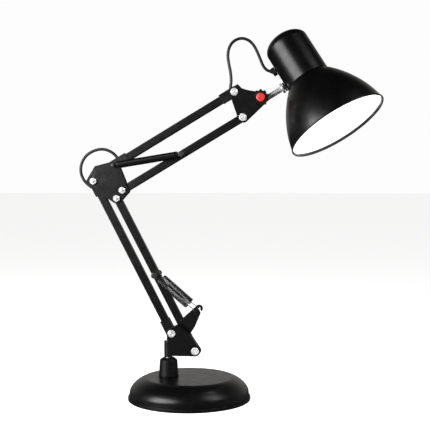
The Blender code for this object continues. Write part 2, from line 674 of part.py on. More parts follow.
def make_head_bracket(upper_top):
    pivot = empty("head_pivot", (UPPER_LENGTH, 0, 0), along(UPPER_ANGLE).inverted(), upper_top)
    low = HEAD_LOW - HEAD_HIGH
    clamp = CLAMP - HEAD_HIGH
    holes = [circle((0, 0), PIVOT_HOLE, 12), circle(low, PIVOT_HOLE, 12)]
    holes.append(circle(clamp, CLAMP_BOLT_RADIUS + GAP, 12))
    for label, side in (("front", -1), ("back", 1)):
        near, far = sorted((side * INSIDE_HALF, side * PLATE_OUTSIDE))
        shape = prism([head_outline()] + holes, near, far)
        add("head_plate_" + label, shape, BLACK_PAINT, pivot, Matrix())
    for label, (x, z) in (("high", (0, 0)), ("low", low)):
        bolt("head_bolt_" + label, pivot, x, z, -1, 13.0)
        nut("head_nut_" + label, pivot, x, z, 1)
    face = PLATE_OUTSIDE + GAP
    clamp_bolt = [(0, face + 3.6), (6.4, face + 2.6), (7.0, face + 1.4), (7.0, face)]
    clamp_bolt += [(CLAMP_BOLT_RADIUS, face), (CLAMP_BOLT_RADIUS, -19.0), (2.4, -19.6), (0, -19.6)]
    add("clamp_bolt", lathe(clamp_bolt, 16, "Y"), CHROME, pivot, place(*clamp), 35)
    return pivot


def make_knob(head):
    clamp = CLAMP - HEAD_HIGH
    pivot = empty("knob_axis", (clamp.x, 0, clamp.y), None, head)
    outline = []
    for i in range(KNOB_LOBES):
        middle = 360 * (i + 0.5) / KNOB_LOBES
        outline += arc((0, 0), KNOB_RADIUS + 1.8, middle - 8, middle + 8, 2)
        outline += arc((0, 0), KNOB_RADIUS, middle + 14, middle + 22, 1)
    near = -PLATE_OUTSIDE - GAP
    far = near - KNOB_THICK
    knob = add("star_knob", prism([outline], far, near), BLACK_PLASTIC, pivot, Matrix())
    boolean(knob, rod_y(0, 0, CLAMP_BOLT_RADIUS + GAP, near - 12.6, near + 5))
    cap = [(0, far - 2.3), (CAP_RADIUS - 1.6, far - 2.1), (CAP_RADIUS, far - 1.2)]
    cap += [(CAP_RADIUS, far - GAP), (0, far - GAP)]
    add("knob_cap", lathe(cap, 28, "Y"), RED_PLASTIC, pivot, Matrix(), 35)


def make_stem(head):
    """The eye that the knob clamps, with the round rod that the neck turns on."""
    clamp = CLAMP - HEAD_HIGH
    pivot = empty("stem_pivot", (clamp.x, 0, clamp.y), along(STEM_ANGLE), head)
    hole = circle((0, 0), CLAMP_BOLT_RADIUS + 0.4, 12)
    eye = prism([circle((0, 0), 9.2, 24), hole], -STEM_EYE_HALF, STEM_EYE_HALF)
    stem = add("stem", eye, CHROME, pivot, Matrix(), 35)
    shoulder = STEM_LENGTH - COLLAR_BACK - GAP
    tip = STEM_LENGTH + 8.2
    bar = [(0, 6.5), (STEM_RADIUS, 6.5), (STEM_RADIUS, shoulder), (STEM_TIP_RADIUS, shoulder)]
    bar += [(STEM_TIP_RADIUS, tip), (0, tip)]
    bar = lathe(bar, 20, "X")
    bmesh.ops.translate(bar, vec=(0, 0, -STEM_DROP), verts=bar.verts)
    boolean(stem, bar, "UNION")
    inside = STEM_RADIUS + GAP
    start = shoulder - 4.4
    collar = [(inside, start), (7.4, start), (8.6, start + 1), (8.6, shoulder - 1)]
    collar += [(7.8, shoulder - 0.3), (inside, shoulder - 0.3)]
    where = place(0, -STEM_DROP)
    add("stem_collar", lathe(collar, 24, "X", closed=True), CHROME, pivot, where, 35)
    return pivot


# ---------------------------------------------------------------- shade
def make_shade(stem):
    axis = Matrix.Rotation(math.radians(SHADE_TURN), 4, "X")
    pivot = empty("shade_axis", (STEM_LENGTH + NECK_RADIUS, 0, -STEM_DROP), axis, stem)
    make_neck(pivot)
    make_reflector(pivot)
    make_lamp(pivot)


def make_neck(pivot):
    """The round housing on top of the shade, its fixings on the stem and the cable's gland."""
    wall = [(NECK_RADIUS, SEAM + GAP), (NECK_RADIUS, NECK_DOME_START)]
    height = NECK_TOP - NECK_DOME_START
    for i in range(1, 6):
        angle = math.radians(90 * i / 6)
        wall.append((NECK_RADIUS * math.cos(angle), NECK_DOME_START + height * math.sin(angle)))
    wall.append((0, NECK_TOP))
    inside = offset_profile(wall[:-1], NECK_WALL)
    inside[0] = (NECK_RADIUS - NECK_WALL, SEAM + GAP)
    profile = wall + [(0, NECK_TOP - NECK_WALL)] + list(reversed(inside))
    neck = add("neck_housing", lathe(profile, 32, closed=True), BLACK_PAINT, pivot, Matrix(), 40)
    bore = STEM_TIP_RADIUS + 0.4
    stem_hole = lathe([(0, -40), (bore, -40), (bore, -30), (0, -30)], 16, "X")
    cord_hole = lathe([(0, -40), (3.5, -40), (3.5, -30), (0, -30)], 16, "X")
    bmesh.ops.translate(cord_hole, vec=(0, 0, GLAND_HEIGHT), verts=cord_hole.verts)
    boolean(neck, merge(stem_hole, cord_hole))

    start = -NECK_RADIUS - COLLAR_BACK + GAP
    washer = [(bore, start), (7.6, start), (7.6, -NECK_RADIUS - GAP), (bore, -NECK_RADIUS - GAP)]
    add("neck_washer", lathe(washer, 20, "X", closed=True), BLACK_RUBBER, pivot, Matrix(), 35)
    hexagon = circle((0, 0), 6.4, 6)
    hole = circle((0, 0), STEM_TIP_RADIUS + GAP, 12)
    inner_face = -math.sqrt((NECK_RADIUS - NECK_WALL) ** 2 - 6.4 ** 2) + GAP
    nut_shape = prism([hexagon, hole], inner_face, inner_face + 4.6, "X")
    add("neck_nut", nut_shape, STEEL, pivot, Matrix())

    half = GLAND_LENGTH / 2
    outline = box_outline(-4.8, 4.8, GLAND_HEIGHT - half, GLAND_HEIGHT + half, 1.2)
    gland = prism([outline], -NECK_RADIUS - 6.6, -NECK_RADIUS - GAP, "X")
    gland = add("cord_gland", gland, BLACK_PLASTIC, pivot, Matrix())
    plug = lathe([(0, -38), (3.1, -38), (3.1, -31), (0, -31)], 16, "X")
    bmesh.ops.translate(plug, vec=(0, 0, GLAND_HEIGHT), verts=plug.verts)
    boolean(gland, plug, "UNION")


def make_reflector(pivot):
    """The bell, with a flat crown under the neck and a rolled bead round its mouth."""
    curve = [(radius, SEAM - 0.9 - drop) for radius, drop in bezier(*FLARE, 6)]
    rim = curve[-1]
    outside = [(CROWN_HOLE, SEAM), (NECK_RADIUS - 0.4, SEAM)] + curve
    bead = arc((rim[0], rim[1] - RIM_BEAD), RIM_BEAD, 90, -180, 3)
    inside = offset_profile(curve, -SHADE_WALL)
    inside = list(reversed(inside))
    inside += [(NECK_RADIUS - 1.0, SEAM - SHADE_WALL), (CROWN_HOLE, SEAM - SHADE_WALL)]
    shape = lathe(outside + bead[1:] + inside[1:], 40, closed=True)
    add("reflector", shape, BLACK_PAINT, pivot, Matrix(), 40)


def make_lamp(pivot):
    """Lamp holder hung in the crown's hole, with the bulb's cap and glass."""
    top = SEAM - SHADE_WALL - GAP
    holder = [(0, 34), (15, 34), (20.5, 30), (20.5, top), (27, top), (27, top - 3.5)]
    holder += [(17, top - 3.5), (15, top - 1.5), (15, 22), (0, 22)]
    add("lamp_holder", lathe(holder, 24), CERAMIC, pivot, Matrix(), 40)
    # The cap and the glass are thin shells, open where they meet.
    cap = [(0, 16), (3.0, 15.6), (4.5, 13), (12.4, 10.5), (13.1, 8), (13.1, -16.0)]
    cap += [(12.3, -16.0), (12.3, 7.5), (0, 12.0)]
    add("bulb_cap", lathe(cap, 20, closed=True), STEEL, pivot, Matrix(), 40)
    glass = [(13.0, -16.3), (14.0, -22.0)]
    glass += [(radius, height) for radius, height in arc((0, -51), BULB_RADIUS, 52, -80, 6)]
    inside = offset_profile(glass, -BULB_WALL)
    inside[0] = (13.0 - BULB_WALL, -16.3)
    tip = -51 - BULB_RADIUS
    glass += [(0, tip), (0, tip + BULB_WALL)] + list(reversed(inside))
    add("bulb_glass", lathe(glass, 24, closed=True), BULB_GLASS, pivot, Matrix(), 40)


# ---------------------------------------------------------------- free cable loops
# Each route is set by hand, from where the cable leaves one piece to where it enters the next.
ELBOW_ROUTE = [
    (-119.7, 0, 395.8), (-123.2, 0, 399.9), (-129.1, 0, 404.2), (-136.4, 0, 407.4),
    (-144.9, 0, 408.7), (-154.5, 0, 407.2), (-163.5, 0, 403.4), (-171.3, 0, 397.4),
    (-177.0, 0, 389.0), (-179.9, 0, 379.2), (-179.4, 0, 368.7), (-175.8, 0, 359.8),
    (-171.4, 0, 353.9), (-167.8, 0, 350.6),
]
HEAD_ROUTE = [
    (67.7, 0, 509.5), (68.5, 0, 518.0), (67.6, 0.2, 530.7), (65.0, 0.5, 544.2),
    (63.2, 1.0, 557.7), (64.8, 1.6, 569.7), (70.1, 2.3, 579.2), (78.6, 3.1, 584.9),
    (88.1, 3.9, 585.9), (97.3, 4.7, 582.2), (104.8, 5.4, 574.4), (110.6, 6.0, 563.4),
    (115.4, 6.5, 551.9), (119.8, 7.0, 542.0), (124.9, 7.4, 535.8), (130.3, 7.6, 533.3),
]


def smooth_route(points, steps):
    """The route's points joined by a smooth curve, read at even steps of its length."""
    knots = [Vector(p) for p in points]
    knots = [2 * knots[0] - knots[1]] + knots + [2 * knots[-1] - knots[-2]]
    fine = []
    for i in range(1, len(knots) - 2):
        a, b, c, d = knots[i - 1:i + 3]
        for j in range(16):
            t = j / 16
            square = (2 * a - 5 * b + 4 * c - d) * t ** 2
            cube = (3 * b - a - 3 * c + d) * t ** 3
            fine.append(0.5 * (2 * b + (c - a) * t + square + cube))
    fine.append(knots[-2])
    travelled = [0.0]
    for first, second in zip(fine, fine[1:]):
        travelled.append(travelled[-1] + (second - first).length)
    even = []
    k = 0
    for i in range(steps + 1):
        target = travelled[-1] * i / steps
        while k < len(fine) - 2 and travelled[k + 1] < target:
            k += 1
        share = (target - travelled[k]) / (travelled[k + 1] - travelled[k])
        even.append(fine[k].lerp(fine[k + 1], share))
    return even


def cord(name, route, steps):
    data = bpy.data.curves.new(name, "CURVE")
    data.dimensions = "3D"
    data.bevel_depth = mm(CORD_RADIUS)
    data.bevel_resolution = 2
    data.use_fill_caps = True
    points = smooth_route(route, steps)
    spline = data.splines.new("POLY")
    spline.points.add(len(points) - 1)
    for point, place_at in zip(spline.points, points):
        point.co = (*[mm(v) for v in place_at], 1.0)
    data.materials.append(material(BLACK_PLASTIC))
    obj = bpy.data.objects.new(name, data)
    bpy.context.scene.collection.objects.link(obj)
    return obj


def main():
    for obj in list(bpy.data.objects):
        bpy.data.objects.remove(obj)
    make_base()
    swivel = make_swivel()
    lower_rear = make_lower_arm(swivel)
    elbow = make_elbow(lower_rear)
    upper_top = make_upper_arm(elbow)
    head = make_head_bracket(upper_top)
    make_knob(head)
    stem = make_stem(head)
    make_shade(stem)
    cord("elbow_cord", ELBOW_ROUTE, 22)
    cord("head_cord", HEAD_ROUTE, 32)


main()
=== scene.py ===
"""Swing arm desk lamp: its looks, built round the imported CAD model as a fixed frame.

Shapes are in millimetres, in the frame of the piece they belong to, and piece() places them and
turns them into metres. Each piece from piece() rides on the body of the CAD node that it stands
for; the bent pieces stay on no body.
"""

import json
import math

import bmesh
import bpy
from mathutils import Matrix, Vector


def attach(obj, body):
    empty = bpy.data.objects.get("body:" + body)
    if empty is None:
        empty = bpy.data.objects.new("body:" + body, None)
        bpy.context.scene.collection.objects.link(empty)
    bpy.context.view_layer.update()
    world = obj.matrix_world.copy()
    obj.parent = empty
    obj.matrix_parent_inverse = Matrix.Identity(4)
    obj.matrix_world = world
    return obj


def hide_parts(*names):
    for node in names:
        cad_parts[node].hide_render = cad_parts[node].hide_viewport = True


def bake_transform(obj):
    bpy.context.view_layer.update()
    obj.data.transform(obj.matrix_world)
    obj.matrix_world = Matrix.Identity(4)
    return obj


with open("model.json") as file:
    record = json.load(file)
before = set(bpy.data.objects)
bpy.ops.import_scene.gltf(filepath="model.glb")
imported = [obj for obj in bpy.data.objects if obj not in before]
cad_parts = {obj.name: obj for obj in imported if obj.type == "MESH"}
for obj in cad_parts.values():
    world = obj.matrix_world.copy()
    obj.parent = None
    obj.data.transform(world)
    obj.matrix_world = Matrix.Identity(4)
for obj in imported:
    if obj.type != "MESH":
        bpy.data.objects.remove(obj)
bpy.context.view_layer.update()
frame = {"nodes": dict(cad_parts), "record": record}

# ---------------------------------------------------------------- the CAD model's dimensions, mm
GAP = 0.3
BASE_RADIUS = 100.0
BASE_HEIGHT = 37.0
BASE_TOP_RADIUS = 70.0
SHOULDER_START = 12.6
BASE_BAND_HEIGHT = 6.1
PAD_RADIUS = 91.5
PLATE_TOP = 3.0
SHELL_RADIUS = 97.4
SHELL_WALL = 1.5
POST_X = -34.2
SOCKET_BOTTOM_RADIUS = 16.4
SOCKET_TOP_RADIUS = 14.3
SOCKET_HEIGHT = 30.4
SPIGOT_RADIUS = 9.5
BUSH_RADIUS = 7.0
HEM_PIN_RADIUS = 5.6
SHEET = 1.4
INSIDE_HALF = 5.9
PLATE_OUTSIDE = 7.1
LINK_SPACING = 48.0
LINK_LINE_ANGLE = -36.0
LOWER_LENGTH = 280.0
LOWER_ANGLE = 117.4
UPPER_LENGTH = 229.4
UPPER_ANGLE = 30.8
UPPER_SPACING = 43.0
UPPER_LINE_ANGLE = 108.7
ROD_WIDE = 9.4
ROD_DEEP = 12.8
ROD_WALL = 1.0
ROD_OVERHANG = 4.8
SLEEVE_LENGTH = 25.0
SLEEVE_BACK = 7.0
SLEEVE_OUTSIDE = 8.5
SLEEVE_INSIDE = 7.3
PIVOT_HOLE = 2.8
BOLT_RADIUS = 2.5
BOLT_HEAD_RADIUS = 6.3
NUT_FLATS = 12.0
ELBOW_NUT_FLATS = 10.0
NUT_HEIGHT = 4.4
LOWER_SPRING_Y = 20.5
LOWER_SPRING_RADIUS = 6.0
UPPER_SPRING_Y = 14.0
UPPER_SPRING_RADIUS = 3.9
UPPER_SLEEVE_RADIUS = 5.2
SPRING_EYE = 3.3
SPRING_PIN_RADIUS = 2.2
STEM_ANGLE = 31.6
STEM_LENGTH = 42.9
STEM_RADIUS = 4.5
STEM_TIP_RADIUS = 3.0
STEM_EYE_HALF = 5.2
COLLAR_BACK = 3.5
STEM_DROP = 4.3
KNOB_RADIUS = 11.0
KNOB_LOBES = 10
KNOB_THICK = 14.0
CLAMP_BOLT_RADIUS = 3.0
CAP_RADIUS = 6.9
NECK_RADIUS = 36.0
NECK_WALL = 0.9
NECK_DOME_START = 56.5
NECK_TOP = 76.9
GLAND_HEIGHT = 31.5
GLAND_LENGTH = 12.8
SEAM = -11.3
SHADE_TURN = -14.2
FLARE = [(36.5, 0.0), (58.4, 23.2), (76.4, 56.0), (81.3, 88.4)]
SHADE_WALL = 0.8
RIM_BEAD = 1.3
CROWN_HOLE = 22.0
BULB_RADIUS = 24.5
BULB_WALL = 1.2
CORD_RADIUS = 2.4


def polar(length, degrees):
    angle = math.radians(degrees)
    return Vector((length * math.cos(angle), length * math.sin(angle)))


# Pivots in the arm's plane, as (x, z).
BASE_REAR = Vector((-28.5, 107.9))
BASE_FRONT = BASE_REAR + polar(LINK_SPACING, LINK_LINE_ANGLE)
ELBOW_REAR = BASE_REAR + polar(LOWER_LENGTH, LOWER_ANGLE)
ELBOW_FRONT = BASE_FRONT + polar(LOWER_LENGTH, LOWER_ANGLE)
ELBOW_LOW = ELBOW_REAR + Vector((48.3, -14.9))
ELBOW_HIGH = ELBOW_LOW + polar(UPPER_SPACING, UPPER_LINE_ANGLE)
HEAD_HIGH = ELBOW_HIGH + polar(UPPER_LENGTH, UPPER_ANGLE)
HEAD_LOW = ELBOW_LOW + polar(UPPER_LENGTH, UPPER_ANGLE)
CLAMP = HEAD_HIGH + Vector((43.2, -10.6))
LOWER_PIN = BASE_FRONT + polar(LOWER_LENGTH / 2, LOWER_ANGLE)
WING_HOOK = Vector((13.8, 146.3))
UPPER_PIN = ELBOW_LOW + polar(UPPER_LENGTH / 2, UPPER_ANGLE)


def along(angle):
    """Turns local +X to a direction this many degrees above +X, in the arm's plane."""
    return Matrix.Rotation(math.radians(-angle), 4, "Y")


def at(point, y=0.0):
    return Matrix.Translation((point[0], y, point[1]))


POST = at((POST_X, 0))
LOWER_REAR_FRAME = at(BASE_REAR) @ along(LOWER_ANGLE)
LOWER_FRONT_FRAME = at(BASE_FRONT) @ along(LOWER_ANGLE)
ELBOW_FRAME = at(ELBOW_REAR)
UPPER_TOP_FRAME = at(ELBOW_HIGH) @ along(UPPER_ANGLE)
UPPER_BOTTOM_FRAME = at(ELBOW_LOW) @ along(UPPER_ANGLE)
HEAD_FRAME = at(HEAD_HIGH)
KNOB_FRAME = at(CLAMP)
STEM_FRAME = at(CLAMP) @ along(STEM_ANGLE)
STEM_ROD_FRAME = STEM_FRAME @ Matrix.Translation((0, 0, -STEM_DROP))
SHADE_FRAME = STEM_ROD_FRAME @ Matrix.Translation((STEM_LENGTH + NECK_RADIUS, 0, 0))
SHADE_FRAME = SHADE_FRAME @ Matrix.Rotation(math.radians(SHADE_TURN), 4, "X")
BODY_OF = {n: b for b, held in frame["record"]["behaviour"]["bodies"].items() for n in held}


# ---------------------------------------------------------------- materials
class Look:
    """A node material under construction, on a Principled shader."""

    def __init__(self, name, **constants):
        self.made = bpy.data.materials.new(name)
        self.made.use_nodes = True
        self.tree = self.made.node_tree
        self.shader = self.tree.nodes["Principled BSDF"]
        for socket, value in constants.items():
            self.shader.inputs[socket.replace("_", " ")].default_value = value
        self.place = self.node("ShaderNodeTexCoord").outputs["Object"]

    def node(self, kind, **settings):
        node = self.tree.nodes.new(kind)
        for key, value in settings.items():
            setattr(node, key, value)
        return node

    def link(self, output, socket):
        self.tree.links.new(output, socket)

    def stretched(self, scale):
        mapping = self.node("ShaderNodeMapping")
        mapping.inputs["Scale"].default_value = scale
        self.link(self.place, mapping.inputs["Vector"])
        return mapping.outputs["Vector"]

    def noise(self, scale, detail=3.0, roughness=0.5, vector=None):
        noise = self.node("ShaderNodeTexNoise")
        noise.inputs["Scale"].default_value = scale
        noise.inputs["Detail"].default_value = detail
        noise.inputs["Roughness"].default_value = roughness
        self.link(vector or self.place, noise.inputs["Vector"])
        return noise.outputs["Fac"]

    def cells(self, scale):
        cells = self.node("ShaderNodeTexVoronoi")
        cells.inputs["Scale"].default_value = scale
        self.link(self.place, cells.inputs["Vector"])
        return cells.outputs["Distance"]

    def ramp(self, value, stops):
        ramp = self.node("ShaderNodeValToRGB")
        elements = ramp.color_ramp.elements
        while len(elements) < len(stops):
            elements.new(0.5)
        for element, (position, colour) in zip(elements, stops):
            element.position = position
            element.color = (*colour, 1.0)
        self.link(value, ramp.inputs["Fac"])
        return ramp.outputs["Color"]

    def spread(self, value, low, high):
        """The texture's middle range mapped to low to high."""
        spread = self.node("ShaderNodeMapRange")
        spread.inputs["From Min"].default_value = 0.3
        spread.inputs["From Max"].default_value = 0.7
        spread.inputs["To Min"].default_value = low
        spread.inputs["To Max"].default_value = high
        self.link(value, spread.inputs["Value"])
        return spread.outputs["Result"]

    def colour(self, value):
        self.link(value, self.shader.inputs["Base Color"])

    def roughness(self, value):
        self.link(value, self.shader.inputs["Roughness"])

    def bump(self, height, strength, distance):
        bump = self.node("ShaderNodeBump")
        bump.inputs["Strength"].default_value = strength
        bump.inputs["Distance"].default_value = distance
        self.link(height, bump.inputs["Height"])
        self.link(bump.outputs["Normal"], self.shader.inputs["Normal"])

    def worn_and_highlit_edges(self, colour, worn_highlit_colour, start, end):
        """The colour with a lighter one on the sharpest edges, broken up by a fine noise: a painted
        edge highlight as well as edge wear.
        """
        edge = self.node("ShaderNodeMapRange")
        edge.inputs["From Min"].default_value = start
        edge.inputs["From Max"].default_value = end
        self.link(self.node("ShaderNodeNewGeometry").outputs["Pointiness"], edge.inputs["Value"])
        broken = self.node("ShaderNodeMath", operation="MULTIPLY")
        self.link(edge.outputs["Result"], broken.inputs[0])
        self.link(self.spread(self.noise(260.0), 0.0, 1.0), broken.inputs[1])
        mix = self.node("ShaderNodeMix", data_type="RGBA")
        mix.inputs["B"].default_value = (*worn_highlit_colour, 1.0)
        self.link(broken.outputs["Value"], mix.inputs["Factor"])
        self.link(colour, mix.inputs["A"])
        return mix.outputs["Result"]


def grey(value, warmth=1.0):
    return (value * warmth, value, value / warmth)


def plain(name, base, colours, gloss, grain, **constants):
    """A finish of one colour, a little uneven in tone and gloss, with a fine grain.

    base is the tone's noise as (scale, detail), between the two colours. gloss is (scale, detail,
    lowest roughness, highest roughness), and grain is (scale, detail, strength, distance).
    """
    look = Look(name, **constants)
    look.colour(look.ramp(look.noise(*base), list(zip((0.3, 0.7), colours))))
    look.roughness(look.spread(look.noise(*gloss[:2]), *gloss[2:]))
    look.bump(look.noise(*grain[:2]), *grain[2:])
    return look.made


def powder_coat():
    """Satin black powder coat: fine orange peel, faint cloudiness, edges lighter with a painted
    highlight and a little wear.
    """
    look = Look("satin black powder coat", Specular_IOR_Level=0.3)
    cloud = look.noise(38.0, 4.0)
    base = look.ramp(cloud, [(0.3, grey(0.0012, 0.98)), (0.72, grey(0.0026, 1.02))])
    # Lighter sharp edges: painted edge highlight, partly edge wear.
    look.colour(look.worn_and_highlit_edges(base, grey(0.028, 1.02), 0.53, 0.6))
    look.roughness(look.spread(look.noise(90.0, 5.0, 0.6), 0.27, 0.35))
    look.bump(look.noise(900.0, 2.0), 0.12, 0.0002)
    return look.made


def moulded_black():
    """Black moulded plastic with a fine spark-eroded grain."""
    look = Look("moulded black plastic", Specular_IOR_Level=0.19)
    base = look.ramp(look.noise(60.0, 4.0), [(0.3, grey(0.0014)), (0.7, grey(0.003, 0.99))])
    # Lighter sharp edges: painted edge highlight, partly edge wear.
    look.colour(look.worn_and_highlit_edges(base, grey(0.022), 0.54, 0.62))
    look.roughness(look.spread(look.noise(160.0, 4.0), 0.38, 0.52))
    look.bump(look.noise(1500.0, 4.0, 0.65), 0.22, 0.00015)
    return look.made


def bright_plate():
    """Bright nickel plating, satin from wear, with hairline scratches."""
    look = Look("bright plate", Metallic=0.62, Specular_IOR_Level=0.6)
    look.colour(look.ramp(look.noise(70.0, 4.0),
                          [(0.3, (0.80, 0.80, 0.81)), (0.7, (0.92, 0.92, 0.92))]))
    hairlines = look.noise(900.0, 3.0, 0.6, look.stretched((1.0, 0.08, 1.0)))
    look.roughness(look.spread(hairlines, 0.2, 0.3))
    look.bump(hairlines, 0.05, 0.0001)
    return look.made


def zinc():
    look = Look("zinc plated steel", Metallic=1.0)
    spangle = look.cells(420.0)
    look.colour(look.ramp(spangle, [(0.0, (0.42, 0.43, 0.44)), (0.8, (0.62, 0.62, 0.61))]))
    look.roughness(look.spread(look.noise(200.0, 4.0), 0.26, 0.42))
    look.bump(look.noise(800.0), 0.08, 0.0001)
    return look.made


def spring_steel():
    """Blackened steel wire, rubbed bright where it catches the light."""
    look = Look("blackened spring steel", Metallic=0.85)
    look.colour(look.ramp(look.noise(240.0, 5.0, 0.6),
                          [(0.35, grey(0.035)), (0.75, grey(0.12, 1.01))]))
    look.roughness(look.spread(look.noise(500.0, 3.0), 0.24, 0.4))
    look.bump(look.noise(1400.0, 2.0), 0.1, 0.0001)
    return look.made


def foam():
    """Charcoal closed-cell foam under the foot."""
    look = Look("foam pad", Specular_IOR_Level=0.2)
    cells = look.cells(900.0)
    look.colour(look.ramp(cells, [(0.0, grey(0.012)), (0.9, grey(0.035))]))
    look.roughness(look.spread(look.noise(400.0), 0.85, 0.97))
    look.bump(cells, 0.5, 0.0004)
    return look.made


def iron():
    look = Look("cast iron", Metallic=0.6)
    look.colour(look.ramp(look.noise(55.0, 6.0, 0.6),
                          [(0.3, (0.045, 0.042, 0.040)), (0.7, (0.11, 0.10, 0.095))]))
    look.roughness(look.spread(look.noise(120.0, 4.0), 0.6, 0.85))
    look.bump(look.noise(350.0, 6.0, 0.65), 0.6, 0.0006)
    return look.made


LOOKS = {
    "satin_black_paint": powder_coat(),
    "black_plastic": moulded_black(),
    "foam_pad": foam(),
    "cast_iron": iron(),
    "zinc_steel": zinc(),
    "black_steel": spring_steel(),
    "chrome": bright_plate(),
    "nylon": plain("white nylon", (80, 3), [(0.70, 0.69, 0.65), (0.80, 0.79, 0.75)],
                   (250, 3, 0.36, 0.5), (900, 3, 0.1, 0.0001),
                   Specular_IOR_Level=0.4, Subsurface_Weight=0.15),
    "red_plastic": plain("red moulded plastic", (120, 3), [(0.56, 0.028, 0.024), (0.68, 0.05, 0.042)],
                         (300, 4, 0.3, 0.42), (1300, 3, 0.12, 0.0001), Specular_IOR_Level=0.45),
    "black_rubber": plain("black rubber", (150, 4), [grey(0.009), grey(0.017)],
                          (300, 4, 0.62, 0.8), (1000, 4, 0.25, 0.0002), Specular_IOR_Level=0.3),
    "ceramic": plain("glazed ceramic", (45, 4), [(0.80, 0.79, 0.75), (0.87, 0.86, 0.83)],
                     (70, 3, 0.14, 0.26), (120, 2, 0.06, 0.0004), Specular_IOR_Level=0.55),
    "bulb_glass": plain("opal bulb glass", (26, 3), [(0.88, 0.87, 0.84), (0.93, 0.92, 0.90)],
                        (60, 3, 0.12, 0.22), (90, 2, 0.03, 0.0004),
                        Specular_IOR_Level=0.5, Subsurface_Weight=0.3),
    "cable_sheath": plain("black cable sheath", (110, 4), [grey(0.005), grey(0.011)],
                          (260, 4, 0.36, 0.5), (1100, 3, 0.15, 0.0001), Specular_IOR_Level=0.4),
}
ENAMEL = plain("white shade enamel", (30, 3), [(0.86, 0.86, 0.85), (0.92, 0.92, 0.91)],
               (110, 4, 0.34, 0.46), (700, 2, 0.1, 0.0002), Specular_IOR_Level=0.5)


# ---------------------------------------------------------------- outlines, as lists of 2-D points
def arc(centre, radius, start, end, steps):
    """Points on an arc, from start to end in degrees, both included."""
    angles = [math.radians(start + (end - start) * i / steps) for i in range(steps + 1)]
    return [(centre[0] + radius * math.cos(a), centre[1] + radius * math.sin(a)) for a in angles]


def circle(centre, radius, steps=32):
    return arc(centre, radius, 0, 360, steps)[:-1]


def rounded(corners, steps=6, closed=True):
    """An outline from (x, y, fillet radius) corners; an open one keeps its two ends sharp."""
    points = []
    for i, (x, y, radius) in enumerate(corners):
        end = not closed and i in (0, len(corners) - 1)
        if radius == 0 or end:
            points.append((x, y))
            continue
        here = Vector((x, y))
        to_last = (Vector(corners[i - 1][:2]) - here).normalized()
        to_next = (Vector(corners[(i + 1) % len(corners)][:2]) - here).normalized()
        half = math.acos(max(-1.0, min(1.0, to_last.dot(to_next)))) / 2
        centre = here + (to_last + to_next).normalized() * radius / math.sin(half)
        first = here + to_last * radius / math.tan(half) - centre
        turn = first.angle_signed(here + to_next * radius / math.tan(half) - centre)
        for j in range(steps + 1):
            points.append(tuple(centre + Matrix.Rotation(-turn * j / steps, 2) @ first))
    return points


def box_outline(x0, x1, y0, y1, radius, steps=6):
    return rounded([(x0, y0, radius), (x1, y0, radius), (x1, y1, radius), (x0, y1, radius)], steps)


def bezier(p0, p1, p2, p3, steps):
    points = []
    for i in range(steps + 1):
        t = i / steps
        weights = ((1 - t) ** 3, 3 * t * (1 - t) ** 2, 3 * t * t * (1 - t), t ** 3)
        whole = sum((w * Vector(p) for w, p in zip(weights, (p0, p1, p2, p3))), Vector((0, 0)))
        points.append(tuple(whole))
    return points


def offset_profile(points, distance):
    """The open profile moved sideways, to its left, by the distance."""
    moved = []
    for i, point in enumerate(points):
        before = Vector(points[max(i - 1, 0)])
        after = Vector(points[min(i + 1, len(points) - 1)])
        step = (after - before).normalized()
        moved.append((point[0] - step.y * distance, point[1] + step.x * distance))
    return moved


# ---------------------------------------------------------------- meshes
def prism(loops, low, high, axis="Y"):
    """The first outline less the others, extruded from low to high. For Y they are in X and Z."""
    shape = bmesh.new()
    edges = []
    for loop in loops:
        if axis == "Y":
            verts = [shape.verts.new((x, low, z)) for x, z in loop]
        elif axis == "Z":
            verts = [shape.verts.new((x, y, low)) for x, y in loop]
        else:
            verts = [shape.verts.new((low, y, z)) for y, z in loop]
        for i, vert in enumerate(verts):
            edges.append(shape.edges.new((vert, verts[(i + 1) % len(verts)])))
    faces = bmesh.ops.triangle_fill(shape, use_beauty=True, edges=edges)["geom"]
    faces = [face for face in faces if isinstance(face, bmesh.types.BMFace)]
    grown = bmesh.ops.extrude_face_region(shape, geom=faces, use_keep_orig=True)["geom"]
    top = [vert for vert in grown if isinstance(vert, bmesh.types.BMVert)]
    step = Vector([high - low if axis == letter else 0 for letter in "XYZ"])
    bmesh.ops.translate(shape, vec=step, verts=top)
    return shape


def turned_point(radius, height, angle, axis):
    across, up = radius * math.cos(angle), radius * math.sin(angle)
    if axis == "Z":
        return (across, up, height)
    if axis == "Y":
        return (across, height, up)
    return (height, across, up)


def lathe(profile, steps=64, axis="Z", closed=False, second=()):
    """(radius, height) points turned about an axis; closed joins the last point to the first.

    second holds the indices of the profile's segments that take the piece's second material.
    """
    shape = bmesh.new()
    rings = []
    for radius, height in profile:
        if radius == 0:
            rings.append([shape.verts.new(turned_point(0, height, 0, axis))])
            continue
        angles = [2 * math.pi * i / steps for i in range(steps)]
        rings.append([shape.verts.new(turned_point(radius, height, a, axis)) for a in angles])
    pairs = list(zip(rings, rings[1:]))
    if closed:
        pairs.append((rings[-1], rings[0]))
    for number, (first, last) in enumerate(pairs):
        for i in range(steps):
            j = (i + 1) % steps
            around = ((first, i), (first, j), (last, j), (last, i))
            corners = list(dict.fromkeys(ring[k % len(ring)] for ring, k in around))
            if len(corners) > 2:
                face = shape.faces.new(corners)
                face.material_index = 1 if number in second else 0
    return shape


